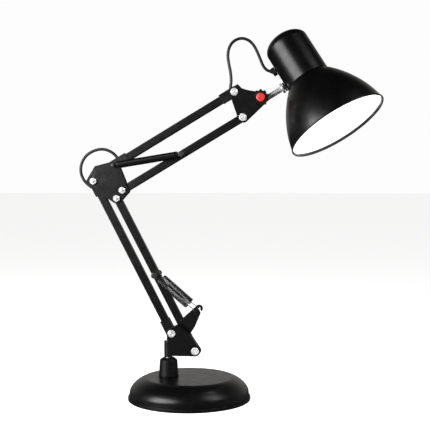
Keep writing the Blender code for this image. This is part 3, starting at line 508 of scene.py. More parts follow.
def sweep(path, radius, sides=12):
    """A round wire along a path of 3-D points, with flat ends."""
    shape = bmesh.new()
    points = [Vector(p) for p in path]
    befores = points[:1] + points[:-1]
    afters = points[1:] + points[-1:]
    tangents = [(after - before).normalized() for before, after in zip(befores, afters)]
    side = tangents[0].orthogonal().normalized()
    rings = []
    for point, tangent in zip(points, tangents):
        side = (side - tangent * side.dot(tangent)).normalized()
        other = tangent.cross(side)
        angles = [2 * math.pi * i / sides for i in range(sides)]
        spokes = [side * math.cos(a) + other * math.sin(a) for a in angles]
        rings.append([shape.verts.new(point + spoke * radius) for spoke in spokes])
    for first, second in zip(rings, rings[1:]):
        for i in range(sides):
            j = (i + 1) % sides
            shape.faces.new((first[i], first[j], second[j], second[i]))
    shape.faces.new(list(reversed(rings[0])))
    shape.faces.new(rings[-1])
    return shape


def turned_about(shape, axis):
    bmesh.ops.rotate(shape, verts=shape.verts, matrix=Matrix.Rotation(math.pi, 3, axis))
    return shape


def moved(shape, offset):
    bmesh.ops.translate(shape, verts=shape.verts, vec=offset)
    return shape


def hole_y(x, z, radius, steps=32):
    return prism([circle((x, z), radius, steps)], -30, 30)


def to_object(name, shape, matrix):
    """An object from a bmesh in millimetres, placed in the row frame."""
    bmesh.ops.remove_doubles(shape, verts=shape.verts, dist=1e-4)
    bmesh.ops.recalc_face_normals(shape, faces=shape.faces)
    bmesh.ops.transform(shape, matrix=Matrix.Scale(0.001, 4) @ matrix, verts=shape.verts)
    mesh = bpy.data.meshes.new(name)
    shape.to_mesh(mesh)
    shape.free()
    obj = bpy.data.objects.new(name, mesh)
    bpy.context.scene.collection.objects.link(obj)
    return obj


def smooth_object(name, shape, matrix, materials):
    obj = to_object(name, shape, matrix)
    for material in materials:
        obj.data.materials.append(material)
    for polygon in obj.data.polygons:
        polygon.use_smooth = True
    return obj


def piece(node, slot, shape, matrix=Matrix(), cuts=(), joins=(), bevel=0.0, thick=0.0,
          second=(), smooth=38):
    """A fine piece in the place of a CAD node, on that node's body and with its finish."""
    obj = smooth_object(node + "_fine", shape, matrix, [LOOKS[slot], *second])
    if thick:
        sheet = obj.modifiers.new("Sheet", "SOLIDIFY")
        sheet.thickness = thick * 0.001
        sheet.offset = 0
        sheet.use_even_offset = True
    helpers = []
    for operation, others in (("DIFFERENCE", cuts), ("UNION", joins)):
        for other in others:
            helper = to_object(node + "_helper", other, matrix)
            helpers.append(helper)
            boolean = obj.modifiers.new("Boolean", "BOOLEAN")
            boolean.operation = operation
            boolean.object = helper
    if bevel:
        edge = obj.modifiers.new("Edge", "BEVEL")
        edge.width = bevel * 0.001
        edge.segments = 3
        edge.limit_method = "ANGLE"
        edge.angle_limit = math.radians(34)
        edge.harden_normals = True
    applied(obj)
    for helper in helpers:
        bpy.data.objects.remove(helper)
    if not bevel:
        obj.data.set_sharp_from_angle(angle=math.radians(smooth))
        obj.modifiers.new("Normals", "WEIGHTED_NORMAL").keep_sharp = True
        applied(obj)
    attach(obj, BODY_OF[node])
    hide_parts(node)
    return obj


def applied(obj):
    graph = bpy.context.evaluated_depsgraph_get()
    mesh = bpy.data.meshes.new_from_object(obj.evaluated_get(graph))
    obj.modifiers.clear()
    obj.data = mesh


def bent_piece(name, slot, shape, nodes, matrix=Matrix()):
    """A piece in the place of the CAD nodes, shaped in millimetres and baked where it stands, on no
    body.
    """
    obj = smooth_object(name, shape, matrix, [LOOKS[slot]])
    obj.data.set_sharp_from_angle(angle=math.radians(50))
    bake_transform(obj)
    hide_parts(*nodes)
    return obj


# ---------------------------------------------------------------- camera
CAMERA_PLACE = (0.210167, -1.485182, 0.353703)
CAMERA_TURN = 6.448            # degrees, from +Y towards -X
CAMERA_PITCH = -2.002
CAMERA_LENS = 77.17


def make_camera():
    data = bpy.data.cameras.new("camera")
    data.lens = CAMERA_LENS
    data.sensor_width = 36.0
    data.clip_start = 0.05
    data.clip_end = 60.0
    camera = bpy.data.objects.new("camera", data)
    camera.location = CAMERA_PLACE
    camera.rotation_euler = (math.radians(90 + CAMERA_PITCH), 0, math.radians(CAMERA_TURN))
    bpy.context.scene.collection.objects.link(camera)
    bpy.context.scene.camera = camera


# ---------------------------------------------------------------- cable loops
ELBOW_ROUTE = [
    (-119.7, 0, 395.8), (-123.2, 0, 399.9), (-129.1, 0, 404.2), (-136.4, 0, 407.4),
    (-144.9, 0, 408.7), (-154.5, 0, 407.2), (-163.5, 0, 403.4), (-171.3, 0, 397.4),
    (-177.0, 0, 389.0), (-179.9, 0, 379.2), (-179.4, 0, 368.7), (-175.8, 0, 359.8),
    (-171.4, 0, 353.9), (-167.8, 0, 350.6),
]
HEAD_ROUTE = [
    (67.7, 0, 509.5), (68.5, 0, 518.0), (67.6, 0.2, 530.7), (65.0, 0.5, 544.2),
    (63.2, 1.0, 557.7), (64.8, 1.6, 569.7), (70.1, 2.3, 579.2), (78.6, 3.1, 584.9),
    (88.1, 3.9, 585.9), (97.3, 4.7, 582.2), (104.8, 5.4, 574.4), (110.6, 6.0, 563.4),
    (115.4, 6.5, 551.9), (119.8, 7.0, 542.0), (124.9, 7.4, 535.8), (130.3, 7.6, 533.3),
]


def smooth_route(points, steps):
    """The route's points joined by a smooth curve, read at even steps of its length."""
    knots = [Vector(p) for p in points]
    knots = [2 * knots[0] - knots[1]] + knots + [2 * knots[-1] - knots[-2]]
    fine = []
    for i in range(1, len(knots) - 2):
        a, b, c, d = knots[i - 1:i + 3]
        for j in range(16):
            t = j / 16
            square = (2 * a - 5 * b + 4 * c - d) * t ** 2
            cube = (3 * b - a - 3 * c + d) * t ** 3
            fine.append(0.5 * (2 * b + (c - a) * t + square + cube))
    fine.append(knots[-2])
    travelled = [0.0]
    for first, second in zip(fine, fine[1:]):
        travelled.append(travelled[-1] + (second - first).length)
    even = []
    k = 0
    for i in range(steps + 1):
        target = travelled[-1] * i / steps
        while k < len(fine) - 2 and travelled[k + 1] < target:
            k += 1
        share = (target - travelled[k]) / (travelled[k + 1] - travelled[k])
        even.append(fine[k].lerp(fine[k + 1], share))
    return even


def cable_end(name, body, end, before, inside):
    """The cable just past one end of its loop, bent into the piece that it enters."""
    ahead = end + (end - before).normalized() * (inside - end).length / 2
    shares = [i / 6 for i in range(7)]
    path = [end.lerp(ahead, share).lerp(ahead.lerp(inside, share), share) for share in shares]
    tube = sweep(path, CORD_RADIUS, 20)
    obj = smooth_object(name, tube, Matrix(), [LOOKS["cable_sheath"]])
    obj.data.set_sharp_from_angle(angle=math.radians(50))
    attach(obj, body)


def cable_loop(node, route, steps, parts, insides):
    """One free loop of cable in lengths that each cross one joint, end to end.

    parts holds (first step, last step, body at the start, body at the end). insides holds the
    points inside the first and the last piece that the cable runs on to.
    """
    line = smooth_route(route, steps)
    for number, (first, last, *bodies) in enumerate(parts, 1):
        path = line[first:last + 1]
        name = f"{node}_{number}"
        nodes = (node,) if number == 1 else ()
        tube = sweep(path, CORD_RADIUS, 20)
        obj = bent_piece(name, "cable_sheath", tube, nodes)
    cable_end(node + "_start", parts[0][2], line[0], line[1], Vector(insides[0]))
    cable_end(node + "_end", parts[-1][3], line[-1], line[-2], Vector(insides[1]))


def make_cables():
    cable_loop("elbow_cord", ELBOW_ROUTE, 84,
               [(0, 34, "upper_top", "elbow"), (34, 84, "elbow", "lower_rear")],
               [(-115.8, 0, 391.2), (-156.3, 0, 343.5)])
    cable_loop("head_cord", HEAD_ROUTE, 120,
               [(0, 30, "upper_top", "head_bracket"), (30, 72, "head_bracket", "stem"),
                (72, 120, "stem", "shade")],
               [(67.1, 0, 503.5), (136.0, 7.8, 530.8)])


# ---------------------------------------------------------------- fasteners
def bolt(node, point, side, length):
    """A pivot bolt: flanged domed head with a ring recess, and a thread on its far end."""
    face = PLATE_OUTSIDE + GAP
    head = rounded([(BOLT_HEAD_RADIUS, 0.0, 0), (BOLT_HEAD_RADIUS, 1.1, 0.5), (5.2, 2.2, 0.8),
                    (3.3, 2.3, 0.2), (2.9, 1.2, 0.2), (2.2, 1.3, 0.2), (1.4, 1.9, 0.5),
                    (0, 1.95, 0)], 3, closed=False)
    profile = [(radius, face + height) for radius, height in reversed(head)]
    profile += [(BOLT_RADIUS, face), (BOLT_RADIUS, 3.4 - length)]
    pitch = 0.8
    for i in range(4):
        low = 3.4 - length - pitch * i
        profile += [(BOLT_RADIUS - 0.38, low - pitch / 2), (BOLT_RADIUS, low - pitch)]
    profile += [(BOLT_RADIUS - 0.4, -length), (0, -length)]
    shape = lathe(profile, 40, "Y")
    piece(node, "chrome", turned_about(shape, "Z") if side < 0 else shape, at(point), smooth=30)


def nut(node, point, side, flats=NUT_FLATS):
    """A hexagon nut with chamfered corners and a countersunk bore."""
    low = PLATE_OUTSIDE + GAP
    high = low + NUT_HEIGHT
    corner = flats / 2 / math.cos(math.radians(30))
    bore = BOLT_RADIUS + GAP
    chamfer = corner - flats / 2
    turned = [(bore, low + 0.3), (bore, high - 0.5), (bore + 0.6, high), (corner - chamfer, high),
              (corner + 0.2, high - 0.75), (corner + 0.2, low), (bore + 0.3, low)]
    shape = lathe(turned, 60, "Y", closed=True)
    outside = [circle((0, 0), corner + 3, 12), arc((0, 0), corner, 90, 390, 5)]
    outer = prism(outside, low - 1, high + 1)
    if side < 0:
        turned_about(shape, "Z")
        turned_about(outer, "Z")
    piece(node, "chrome", shape, at(point), cuts=[outer], smooth=25)


def spring_pin(node, matrix, reach, head):
    """A cross pin along Y with a domed head at each end that holds a spring's loop."""
    top = rounded([(0, reach + 3.8, 0), (head - 0.5, reach + 3.8, 0.9), (head, reach + 3.0, 0.4),
                   (head, reach + 1.4, 0.3), (SPRING_PIN_RADIUS, reach + 1.4, 0.4),
                   (SPRING_PIN_RADIUS, 0, 0)], 4, closed=False)
    bottom = [(radius, -height) for radius, height in reversed(top[:-1])]
    piece(node, "black_steel", lathe(top + bottom, 40, "Y"), matrix)


# ---------------------------------------------------------------- springs
def spring_path(first, last, size, turns, ends, loops, drop=0.0):
    """A tension spring's wire between two points, with an eye at each.

    size is (coil's mean radius, points per turn). The first eye lies in the arm's plane, round a
    pin. The last does too where loops is "pin"; where it is "plate" it passes through a notch.
    """
    radius, per_turn = size
    axis = (last - first).normalized()
    across = Vector((0, -math.copysign(1, first.y), 0))
    up = axis.cross(Vector((0, 1, 0)))
    path = []
    for i in range(17):
        angle = math.radians(-40 - 280 * i / 16)
        path.append(first + (axis * math.cos(angle) + up * math.sin(angle)) * SPRING_EYE)
    coil = (last - first).length - sum(ends)
    count = turns * per_turn
    for i in range(count + 1):
        angle = 2 * math.pi * i / per_turn
        ease = min(1.0, i / per_turn + 0.55, (count - i) / per_turn + 0.55)
        centre = first + axis * (ends[0] + coil * i / count) - up * drop
        path.append(centre + (across * math.cos(angle) + up * math.sin(angle)) * radius * ease)
    turned_to = up if loops == "pin" else across
    middle = last if loops == "pin" else last - axis * SPRING_EYE
    for i in range(17):
        angle = math.radians(140 - 280 * i / 16)
        path.append(middle + (axis * math.cos(angle) + turned_to * math.sin(angle)) * SPRING_EYE)
    return path


def make_springs():
    wire = 0.6
    for label, side in (("front", -1), ("back", 1)):
        pin = Vector((LOWER_PIN.x, side * LOWER_SPRING_Y, LOWER_PIN.y))
        hook = Vector((WING_HOOK.x, side * LOWER_SPRING_Y, WING_HOOK.y))
        size = (LOWER_SPRING_RADIUS - wire, 16)
        path = spring_path(pin, hook, size, 34, (10.0, 16.5), "plate", 1.0)
        node = "lower_spring_" + label
        bent_piece(node + "_fine", "black_steel", sweep(path, wire, 8),
                   (node,))

        high = Vector((ELBOW_HIGH.x, side * UPPER_SPRING_Y, ELBOW_HIGH.y))
        pin = Vector((UPPER_PIN.x, side * UPPER_SPRING_Y, UPPER_PIN.y))
        size = (UPPER_SPRING_RADIUS - wire, 12)
        path = spring_path(high, pin, size, 60, (7.5, 8.5), "pin")
        node = "upper_spring_" + label
        bent_piece(node + "_fine", "black_steel", sweep(path, wire, 6),
                   (node,))

        reach = UPPER_PIN - ELBOW_HIGH
        near, far = 5.6, reach.length - 6.7
        inside = UPPER_SPRING_RADIUS + 0.4
        outside = UPPER_SLEEVE_RADIUS
        wall = [(inside, near), (outside - 0.4, near), (outside, near + 0.5)]
        wall += [(outside, near + (far - near) * i / 24) for i in range(1, 24)]
        wall += [(outside, far - 0.5), (outside - 0.4, far), (inside, far)]
        wall += [(inside, far + (near - far) * i / 12) for i in range(1, 12)]
        turn = math.degrees(math.atan2(reach.y, reach.x))
        node = "upper_spring_sleeve_" + label
        bent_piece(node + "_fine", "black_plastic", lathe(wall, 40, "X", closed=True),
                   (node,),
                   at(ELBOW_HIGH, side * UPPER_SPRING_Y) @ along(turn))


# ---------------------------------------------------------------- base
def make_base():
    pad = PAD_RADIUS
    band = rounded([(0, 1.5, 0), (pad + 1, 1.5, 0.3), (pad + 2, 0.4, 0.3),
                    (BASE_RADIUS, 0.4, 1.1), (BASE_RADIUS, BASE_BAND_HEIGHT, 1.0),
                    (SHELL_RADIUS + GAP, BASE_BAND_HEIGHT, 0.4), (SHELL_RADIUS + GAP, PLATE_TOP, 0),
                    (0, PLATE_TOP, 0)], 5, closed=False)
    piece("base_plate", "black_plastic", lathe(band, 160))

    floor = PLATE_TOP + GAP
    run = SHELL_RADIUS - BASE_TOP_RADIUS
    rise = BASE_HEIGHT - SHOULDER_START
    outer = [(SHELL_RADIUS - 0.4, floor), (SHELL_RADIUS, floor + 0.4), (SHELL_RADIUS, 8.0)]
    outer.append((SHELL_RADIUS, SHOULDER_START))
    for i in range(1, 37):
        angle = math.radians(90 * i / 36)
        radius = BASE_TOP_RADIUS + run * math.cos(angle) ** 1.4
        outer.append((radius, SHOULDER_START + rise * math.sin(angle) ** 1.14))
    inner = offset_profile(outer, SHELL_WALL)
    inner[0] = (SHELL_RADIUS - SHELL_WALL, floor)
    inner[1] = (SHELL_RADIUS - SHELL_WALL, floor + 0.4)
    top = [(60, BASE_HEIGHT), (0, BASE_HEIGHT), (0, BASE_HEIGHT - SHELL_WALL)]
    profile = outer + top + list(reversed(inner))
    spigot = prism([circle((POST_X, 0), SPIGOT_RADIUS + 0.5, 40)], 20, 50, "Z")
    piece("base_shell", "satin_black_paint", lathe(profile, 160, closed=True), cuts=[spigot])

    foot = BASE_HEIGHT + GAP
    top = foot + SOCKET_HEIGHT
    bore = BUSH_RADIUS + GAP
    socket = rounded([(bore, foot - 11.3, 0), (SPIGOT_RADIUS, foot - 11.3, 0),
                      (SPIGOT_RADIUS, foot, 0), (SOCKET_BOTTOM_RADIUS, foot, 0.4),
                      (SOCKET_BOTTOM_RADIUS, foot + 2.8, 0.7),
                      (SOCKET_BOTTOM_RADIUS - 0.55, foot + 3.2, 0.3),
                      (SOCKET_TOP_RADIUS, top - 3.6, 1.6), (9.5, top, 0.8),
                      (HEM_PIN_RADIUS + GAP, top, 0), (HEM_PIN_RADIUS + GAP, top - 2.5, 0),
                      (bore, top - 2.5, 0)])
    piece("post_socket", "black_plastic", lathe(socket, 72, closed=True), POST)


# ---------------------------------------------------------------- swivel bracket
def bracket_sheet():
    """The folded sheet's middle surface: two cheeks, the hem between, a stepped-out wing on each."""
    middle = INSIDE_HALF + SHEET / 2
    hem_low, hem_high = BASE_HEIGHT + SOCKET_HEIGHT + 1.8, 95.2
    shape = bmesh.new()
    hem_rows = {}
    for side in (-1, 1):
        fold_top, fold_low = (-16.7, 123.3), (1.6, 107.4)
        cheek = [(POST_X, hem_low), (POST_X, hem_high), (-36.2, 98.2)]
        cheek += arc(BASE_REAR, 8.6, 210, 130, 12)
        cheek += [fold_top, fold_low]
        cheek += arc(BASE_FRONT, 8.6, 10, -90, 16)
        cheek += [(-26.5, BASE_FRONT.y - 8.6), (-28.5, hem_low)]
        holes = [circle(BASE_REAR, PIVOT_HOLE, 24), circle(BASE_FRONT, PIVOT_HOLE, 24)]
        made = {}
        edges = []
        for loop in [cheek] + holes:
            verts = [shape.verts.new((x, side * middle, z)) for x, z in loop]
            made.update({(round(x, 3), round(z, 3)): v for (x, z), v in zip(loop, verts)})
            for i, vert in enumerate(verts):
                edges.append(shape.edges.new((vert, verts[(i + 1) % len(verts)])))
        bmesh.ops.triangle_fill(shape, use_beauty=True, edges=edges)

        step_top, step_low = (-12.4, 130.9), (6.4, 115.2)
        hook = [(14.6, 134.6), (16.2, 138.6)]
        hook += arc(WING_HOOK, 2.1, -88, -408, 24)
        hook += arc(WING_HOOK, 6.1, -52, 134, 18)
        wing = [step_top, step_low] + hook
        verts = [shape.verts.new((x, side * LOWER_SPRING_Y, z)) for x, z in wing]
        edges = [shape.edges.new((v, verts[(i + 1) % len(verts)])) for i, v in enumerate(verts)]
        bmesh.ops.triangle_fill(shape, use_beauty=True, edges=edges)
        fold = [made[(round(x, 3), round(z, 3))] for x, z in (fold_top, fold_low)]
        shape.faces.new((fold[0], fold[1], verts[1], verts[0]))
        hem_rows[side] = [made[(round(POST_X, 3), z)] for z in (hem_low, hem_high)]

    steps = 16
    last = hem_rows[-1]
    for i in range(1, steps + 1):
        angle = math.radians(-90 - 180 * i / steps)
        if i == steps:
            here = hem_rows[1]
        else:
            x, y = POST_X + middle * math.cos(angle), middle * math.sin(angle)
            here = [shape.verts.new((x, y, z)) for z in (hem_low, hem_high)]
        shape.faces.new((last[0], last[1], here[1], here[0]))
        last = here
    return shape


def make_swivel():
    piece("swivel_bracket", "satin_black_paint", bracket_sheet(), thick=SHEET, bevel=0.3)
    for label, point in (("rear", BASE_REAR), ("front", BASE_FRONT)):
        bolt("lower_bolt_" + label, point, -1, 13.0)
        nut("lower_nut_" + label, point, 1)


# ---------------------------------------------------------------- rods and sleeves
def rod(node, matrix, length, pin_hole=False):
    """A hollow rolled rod along local +X from its pivot, with a hole at each pivot."""
    wide, deep = ROD_WIDE / 2, ROD_DEEP / 2
    outside = box_outline(-wide, wide, -deep, deep, 1.5)
    inside = box_outline(ROD_WALL - wide, wide - ROD_WALL, ROD_WALL - deep, deep - ROD_WALL, 0.6)
    low, high = -ROD_OVERHANG, length + ROD_OVERHANG
    shape = bmesh.new()
    rings = []
    edge = 0.25
    stations = [(low, edge), (low + edge, 0)]
    stations += [(low + (high - low) * i / 24, 0) for i in range(1, 24)]
    stations += [(high - edge, 0), (high, edge)]
    for x, shrink in stations:
        scale_y, scale_z = 1 - shrink / wide, 1 - shrink / deep
        rings.append([shape.verts.new((x, y * scale_y, z * scale_z)) for y, z in outside])
    for x in (high, low):
        rings.append([shape.verts.new((x, y, z)) for y, z in inside])
    count = len(outside)
    for first, second in zip(rings, rings[1:] + rings[:1]):
        for i in range(count):
            j = (i + 1) % count
            shape.faces.new((first[i], first[j], second[j], second[i]))
    cuts = [hole_y(x, 0, PIVOT_HOLE) for x in (0, length)]
    if pin_hole:
        cuts.append(hole_y(length / 2, 0, SPRING_PIN_RADIUS + GAP))
    piece(node, "satin_black_paint", shape, matrix, cuts=cuts)


def sleeve(node, matrix, x, direction):
    """A moulded end sleeve round a pivot at x, open along the rod in the direction -1 or +1."""
    end = x + SLEEVE_LENGTH * direction
    back = x - SLEEVE_BACK * direction
    corners = [(back, -SLEEVE_INSIDE, 4.5), (end, -SLEEVE_INSIDE, 0.8)]
    corners += [(end, SLEEVE_OUTSIDE, 0.8), (back, SLEEVE_OUTSIDE, 4.5)]
    body = prism([rounded(corners, 8)], -INSIDE_HALF + GAP, INSIDE_HALF - GAP)
    room_y = ROD_WIDE / 2 + GAP
    room_z = ROD_DEEP / 2 + GAP
    low, high = sorted((x - (ROD_OVERHANG + GAP) * direction, x + (SLEEVE_LENGTH + 5) * direction))
    room = prism([box_outline(-room_y, room_y, -room_z, room_z, 1.0)], low, high, "X")
    piece(node, "black_plastic", body, matrix, cuts=[room, hole_y(x, 0, PIVOT_HOLE)], bevel=0.25)


def make_arms():
    rod("lower_rear_rod", LOWER_REAR_FRAME, LOWER_LENGTH)
    sleeve("lower_rear_sleeve_bottom", LOWER_REAR_FRAME, 0, 1)
    sleeve("lower_rear_sleeve_top", LOWER_REAR_FRAME, LOWER_LENGTH, -1)
    rod("lower_front_rod", LOWER_FRONT_FRAME, LOWER_LENGTH, pin_hole=True)
    middle = Matrix.Translation((LOWER_LENGTH / 2, 0, 0))
    spring_pin("lower_spring_pin", LOWER_FRONT_FRAME @ middle, LOWER_SPRING_Y, 5.0)
    rod("upper_top_rod", UPPER_TOP_FRAME, UPPER_LENGTH)
    sleeve("upper_top_sleeve_rear", UPPER_TOP_FRAME, 0, 1)
    sleeve("upper_top_sleeve_front", UPPER_TOP_FRAME, UPPER_LENGTH, -1)
    rod("upper_bottom_rod", UPPER_BOTTOM_FRAME, UPPER_LENGTH, pin_hole=True)
    middle = Matrix.Translation((UPPER_LENGTH / 2, 0, 0))
    spring_pin("upper_spring_pin", UPPER_BOTTOM_FRAME @ middle, UPPER_SPRING_Y, 5.0)


# ---------------------------------------------------------------- elbow and head plates
def plates(name, outline, holes, matrix):
    for label, side in (("front", -1), ("back", 1)):
        low, high = sorted((side * INSIDE_HALF, side * PLATE_OUTSIDE))
        piece(f"{name}_plate_{label}", "satin_black_paint", prism([outline] + holes, low, high),
              matrix, bevel=0.3)


def make_elbow():
    corners = [(-13.4, -2.0, 4.5), (-5.8, 11.0, 6.0), (2.5, 24.5, 3.0), (39.0, 33.8, 7.0)]
    corners += [(59.4, -17.0, 3.5), (39.4, -39.2, 9.0), (-4.0, -9.5, 6.0)]
    outline = rounded(corners, 8)
    points = {"rear": ELBOW_REAR, "front": ELBOW_FRONT, "low": ELBOW_LOW, "high": ELBOW_HIGH}
    holes = [circle(point - ELBOW_REAR, PIVOT_HOLE, 24) for point in points.values()]
    plates("elbow", outline, holes, ELBOW_FRAME)
    for label in ("rear", "front", "low"):
        bolt("elbow_bolt_" + label, points[label], 1, 14.0)
        nut("elbow_nut_" + label, points[label], -1, ELBOW_NUT_FLATS)
    spring_pin("elbow_spring_pin", at(ELBOW_HIGH), UPPER_SPRING_Y, 3.2)


def make_head():
    clamp = CLAMP - HEAD_HIGH
    low = HEAD_LOW - HEAD_HIGH
    outline = arc((0, 0), 8.4, 200, 100, 14)
    outline += [(5.4, 12.2), (12.0, 5.6), (19.0, 3.0), (28.0, 1.2)]
    outline += arc(clamp, 9.8, 80, -50, 18)
    outline += arc(low, 8.2, -42, -165, 16)
    holes = [circle((0, 0), PIVOT_HOLE, 24), circle(low, PIVOT_HOLE, 24)]
    holes.append(circle(clamp, CLAMP_BOLT_RADIUS + GAP, 24))
    plates("head", outline, holes, HEAD_FRAME)
    for label, point in (("high", HEAD_HIGH), ("low", HEAD_LOW)):
        bolt("head_bolt_" + label, point, -1, 13.0)
        nut("head_nut_" + label, point, 1)
    face = PLATE_OUTSIDE + GAP
    head = rounded([(0, face + 3.6, 0), (5.0, face + 3.3, 3.0), (7.0, face + 1.6, 0.5),
                    (7.0, face, 0.2), (CLAMP_BOLT_RADIUS, face, 0), (CLAMP_BOLT_RADIUS, -19.0, 0),
                    (2.4, -19.6, 0), (0, -19.6, 0)], 5, closed=False)
    piece("clamp_bolt", "chrome", lathe(head, 48, "Y"), KNOB_FRAME)


def make_knob():
    """Ten-lobed clamping knob with a red cap pressed into its middle."""
    outline = []
    sharpness = 1.7
    for i in range(240):
        angle = 2 * math.pi * i / 240
        lobe = math.cos(KNOB_LOBES * angle + math.pi) * sharpness
        radius = KNOB_RADIUS + 0.9 + 0.9 * math.tanh(lobe) / math.tanh(sharpness)
        outline.append((radius * math.cos(angle), radius * math.sin(angle)))
    near = -PLATE_OUTSIDE - GAP
    far = near - KNOB_THICK
    bore = prism([circle((0, 0), CLAMP_BOLT_RADIUS + GAP, 24)], near - 12.6, near + 5)
    piece("star_knob", "black_plastic", prism([outline], far, near), KNOB_FRAME,
          cuts=[bore], bevel=0.9)
    cap = rounded([(0, far - 2.3, 0), (CAP_RADIUS - 1.2, far - 2.15, 2.4),
                   (CAP_RADIUS, far - 1.3, 0.5), (CAP_RADIUS, far - GAP, 0),
                   (0, far - GAP, 0)], 6, closed=False)
    piece("knob_cap", "red_plastic", lathe(cap, 64, "Y"), KNOB_FRAME)


def make_stem():
    """The eye that the knob clamps, with the round rod that the shade turns on."""
    hole = circle((0, 0), CLAMP_BOLT_RADIUS + 0.4, 24)
    eye = prism([circle((0, 0), 9.2, 64), hole], -STEM_EYE_HALF, STEM_EYE_HALF)
    shoulder = STEM_LENGTH - COLLAR_BACK - GAP
    tip = STEM_LENGTH + 8.2
    bar = rounded([(0, 6.5, 0), (STEM_RADIUS, 6.5, 0), (STEM_RADIUS, shoulder, 0.4),
                   (STEM_TIP_RADIUS, shoulder, 0), (STEM_TIP_RADIUS, tip, 0.5), (0, tip, 0)],
                  4, closed=False)
    bar = moved(lathe(bar, 48, "X"), (0, 0, -STEM_DROP))
    piece("stem", "chrome", eye, STEM_FRAME, joins=[bar], bevel=0.35)
    inside = STEM_RADIUS + GAP
    start = shoulder - 4.4
    end = shoulder - 0.3
    collar = rounded([(inside, start, 0), (7.6, start, 1.0), (8.6, start + 1.2, 0.5),
                      (8.6, end - 0.8, 0.5), (7.8, end, 0.3), (inside, end, 0)])
    piece("stem_collar", "chrome", lathe(collar, 64, "X", closed=True), STEM_ROD_FRAME)


# ---------------------------------------------------------------- shade
def make_neck():
    low = SEAM + GAP
    wall = [(NECK_RADIUS - 0.35, low), (NECK_RADIUS, low + 0.35)]
    wall += [(NECK_RADIUS, low + (NECK_DOME_START - low) * i / 17) for i in range(1, 18)]
    height = NECK_TOP - NECK_DOME_START
    for i in range(1, 30):
        angle = math.radians(90 * i / 30)
        wall.append((NECK_RADIUS * math.cos(angle), NECK_DOME_START + height * math.sin(angle)))
    inside = offset_profile(wall[1:], NECK_WALL)
    inside = [(NECK_RADIUS - NECK_WALL, low)] + inside[1:]
    profile = wall + [(0, NECK_TOP), (0, NECK_TOP - NECK_WALL)] + list(reversed(inside))
    bore = STEM_TIP_RADIUS + 0.4
    stem_hole = lathe([(0, -40), (bore, -40), (bore, -30), (0, -30)], 32, "X")
    cord_hole = lathe([(0, -40), (3.5, -40), (3.5, -30), (0, -30)], 32, "X")
    piece("neck_housing", "satin_black_paint", lathe(profile, 144, closed=True), SHADE_FRAME,
          cuts=[stem_hole, moved(cord_hole, (0, 0, GLAND_HEIGHT))])

    start = -NECK_RADIUS - COLLAR_BACK + GAP
    end = -NECK_RADIUS - GAP
    washer = rounded([(bore, start, 0), (7.6, start, 0.7), (7.6, end, 0.7), (bore, end, 0)])
    piece("neck_washer", "black_rubber", lathe(washer, 56, "X", closed=True), SHADE_FRAME)

    half = GLAND_LENGTH / 2
    outline = box_outline(-4.8, 4.8, GLAND_HEIGHT - half, GLAND_HEIGHT + half, 1.6)
    gland = prism([outline], -NECK_RADIUS - 6.6, -NECK_RADIUS - GAP, "X")
    plug = lathe([(0, -38), (3.1, -38), (3.1, -31), (0, -31)], 32, "X")
    piece("cord_gland", "black_plastic", gland, SHADE_FRAME,
          joins=[moved(plug, (0, 0, GLAND_HEIGHT))], bevel=0.7)


def make_reflector():
    """The bell: black outside, white enamel inside, with a rolled bead round its mouth."""
    curve = [(radius, SEAM - 0.9 - drop) for radius, drop in bezier(*FLARE, 44)]
    rim = curve[-1]
    outside = [(CROWN_HOLE, SEAM), (NECK_RADIUS - 1.2, SEAM), (NECK_RADIUS - 0.1, SEAM - 0.25)]
    outside += curve
    bead = arc((rim[0], rim[1] - RIM_BEAD), RIM_BEAD, 90, -180, 18)
    inside = list(reversed(offset_profile(curve, -SHADE_WALL)))
    inside += [(NECK_RADIUS - 1.0, SEAM - SHADE_WALL), (CROWN_HOLE, SEAM - SHADE_WALL)]
    profile = outside + bead[1:] + inside[1:]
    first_white = len(outside) + len(bead) - 1
    white = set(range(first_white, len(profile) - 1))
    piece("reflector", "satin_black_paint", lathe(profile, 176, closed=True, second=white),
          SHADE_FRAME, second=[ENAMEL])


def make_lamp():
    top = SEAM - SHADE_WALL - GAP
    holder = rounded([(0, 34, 0), (15, 34, 1.2), (20.5, 30, 1.5), (20.5, top, 0.8),
                      (27, top, 0.8), (27, top - 3.5, 1.2), (17, top - 3.5, 0.6),
                      (15, top - 1.5, 0.6), (15, 22, 0.5), (0, 22, 0)], 5, closed=False)
    piece("lamp_holder", "ceramic", lathe(holder, 72), SHADE_FRAME)

    # The screw cap's rolled thread, then its insulated tip and contact.
    cap = [(0, 16), (1.6, 15.95), (3.0, 15.6), (3.2, 14.6), (4.5, 13), (11.4, 10.9), (12.6, 10.2)]
    rolls = 34
    for i in range(rolls + 1):
        height = 9.4 - 24.0 * i / rolls
        cap.append((12.72 + 0.38 * math.cos(2 * math.pi * (9.4 - height) / 3.6), height))
    cap += [(13.1, -15.2), (13.1, -16.0), (12.3, -16.0), (12.3, 7.5), (0, 12.0)]
    piece("bulb_cap", "zinc_steel", lathe(cap, 64, closed=True), SHADE_FRAME, smooth=60)

    glass = [(13.0, -16.3), (13.1, -18.0), (13.4, -20.0), (14.0, -22.0), (14.7, -24.0)]
    glass += arc((0, -51), BULB_RADIUS, 50, -86, 34)
    inside = offset_profile(glass, -BULB_WALL)
    inside[0] = (13.0 - BULB_WALL, -16.3)
    tip = -51 - BULB_RADIUS
    glass += [(0, tip), (0, tip + BULB_WALL)] + list(reversed(inside))
    piece("bulb_glass", "bulb_glass", lathe(glass, 80, closed=True), SHADE_FRAME, smooth=60)


# ---------------------------------------------------------------- CAD nodes that stay
KEPT_NODES = {
    "base_pad": "foam_pad",
    "base_weight": "cast_iron",
    "socket_bush": "nylon",
    "socket_nut": "zinc_steel",
    "swivel_pin": "zinc_steel",
    "pin_clip": "zinc_steel",
    "neck_nut": "zinc_steel",
}


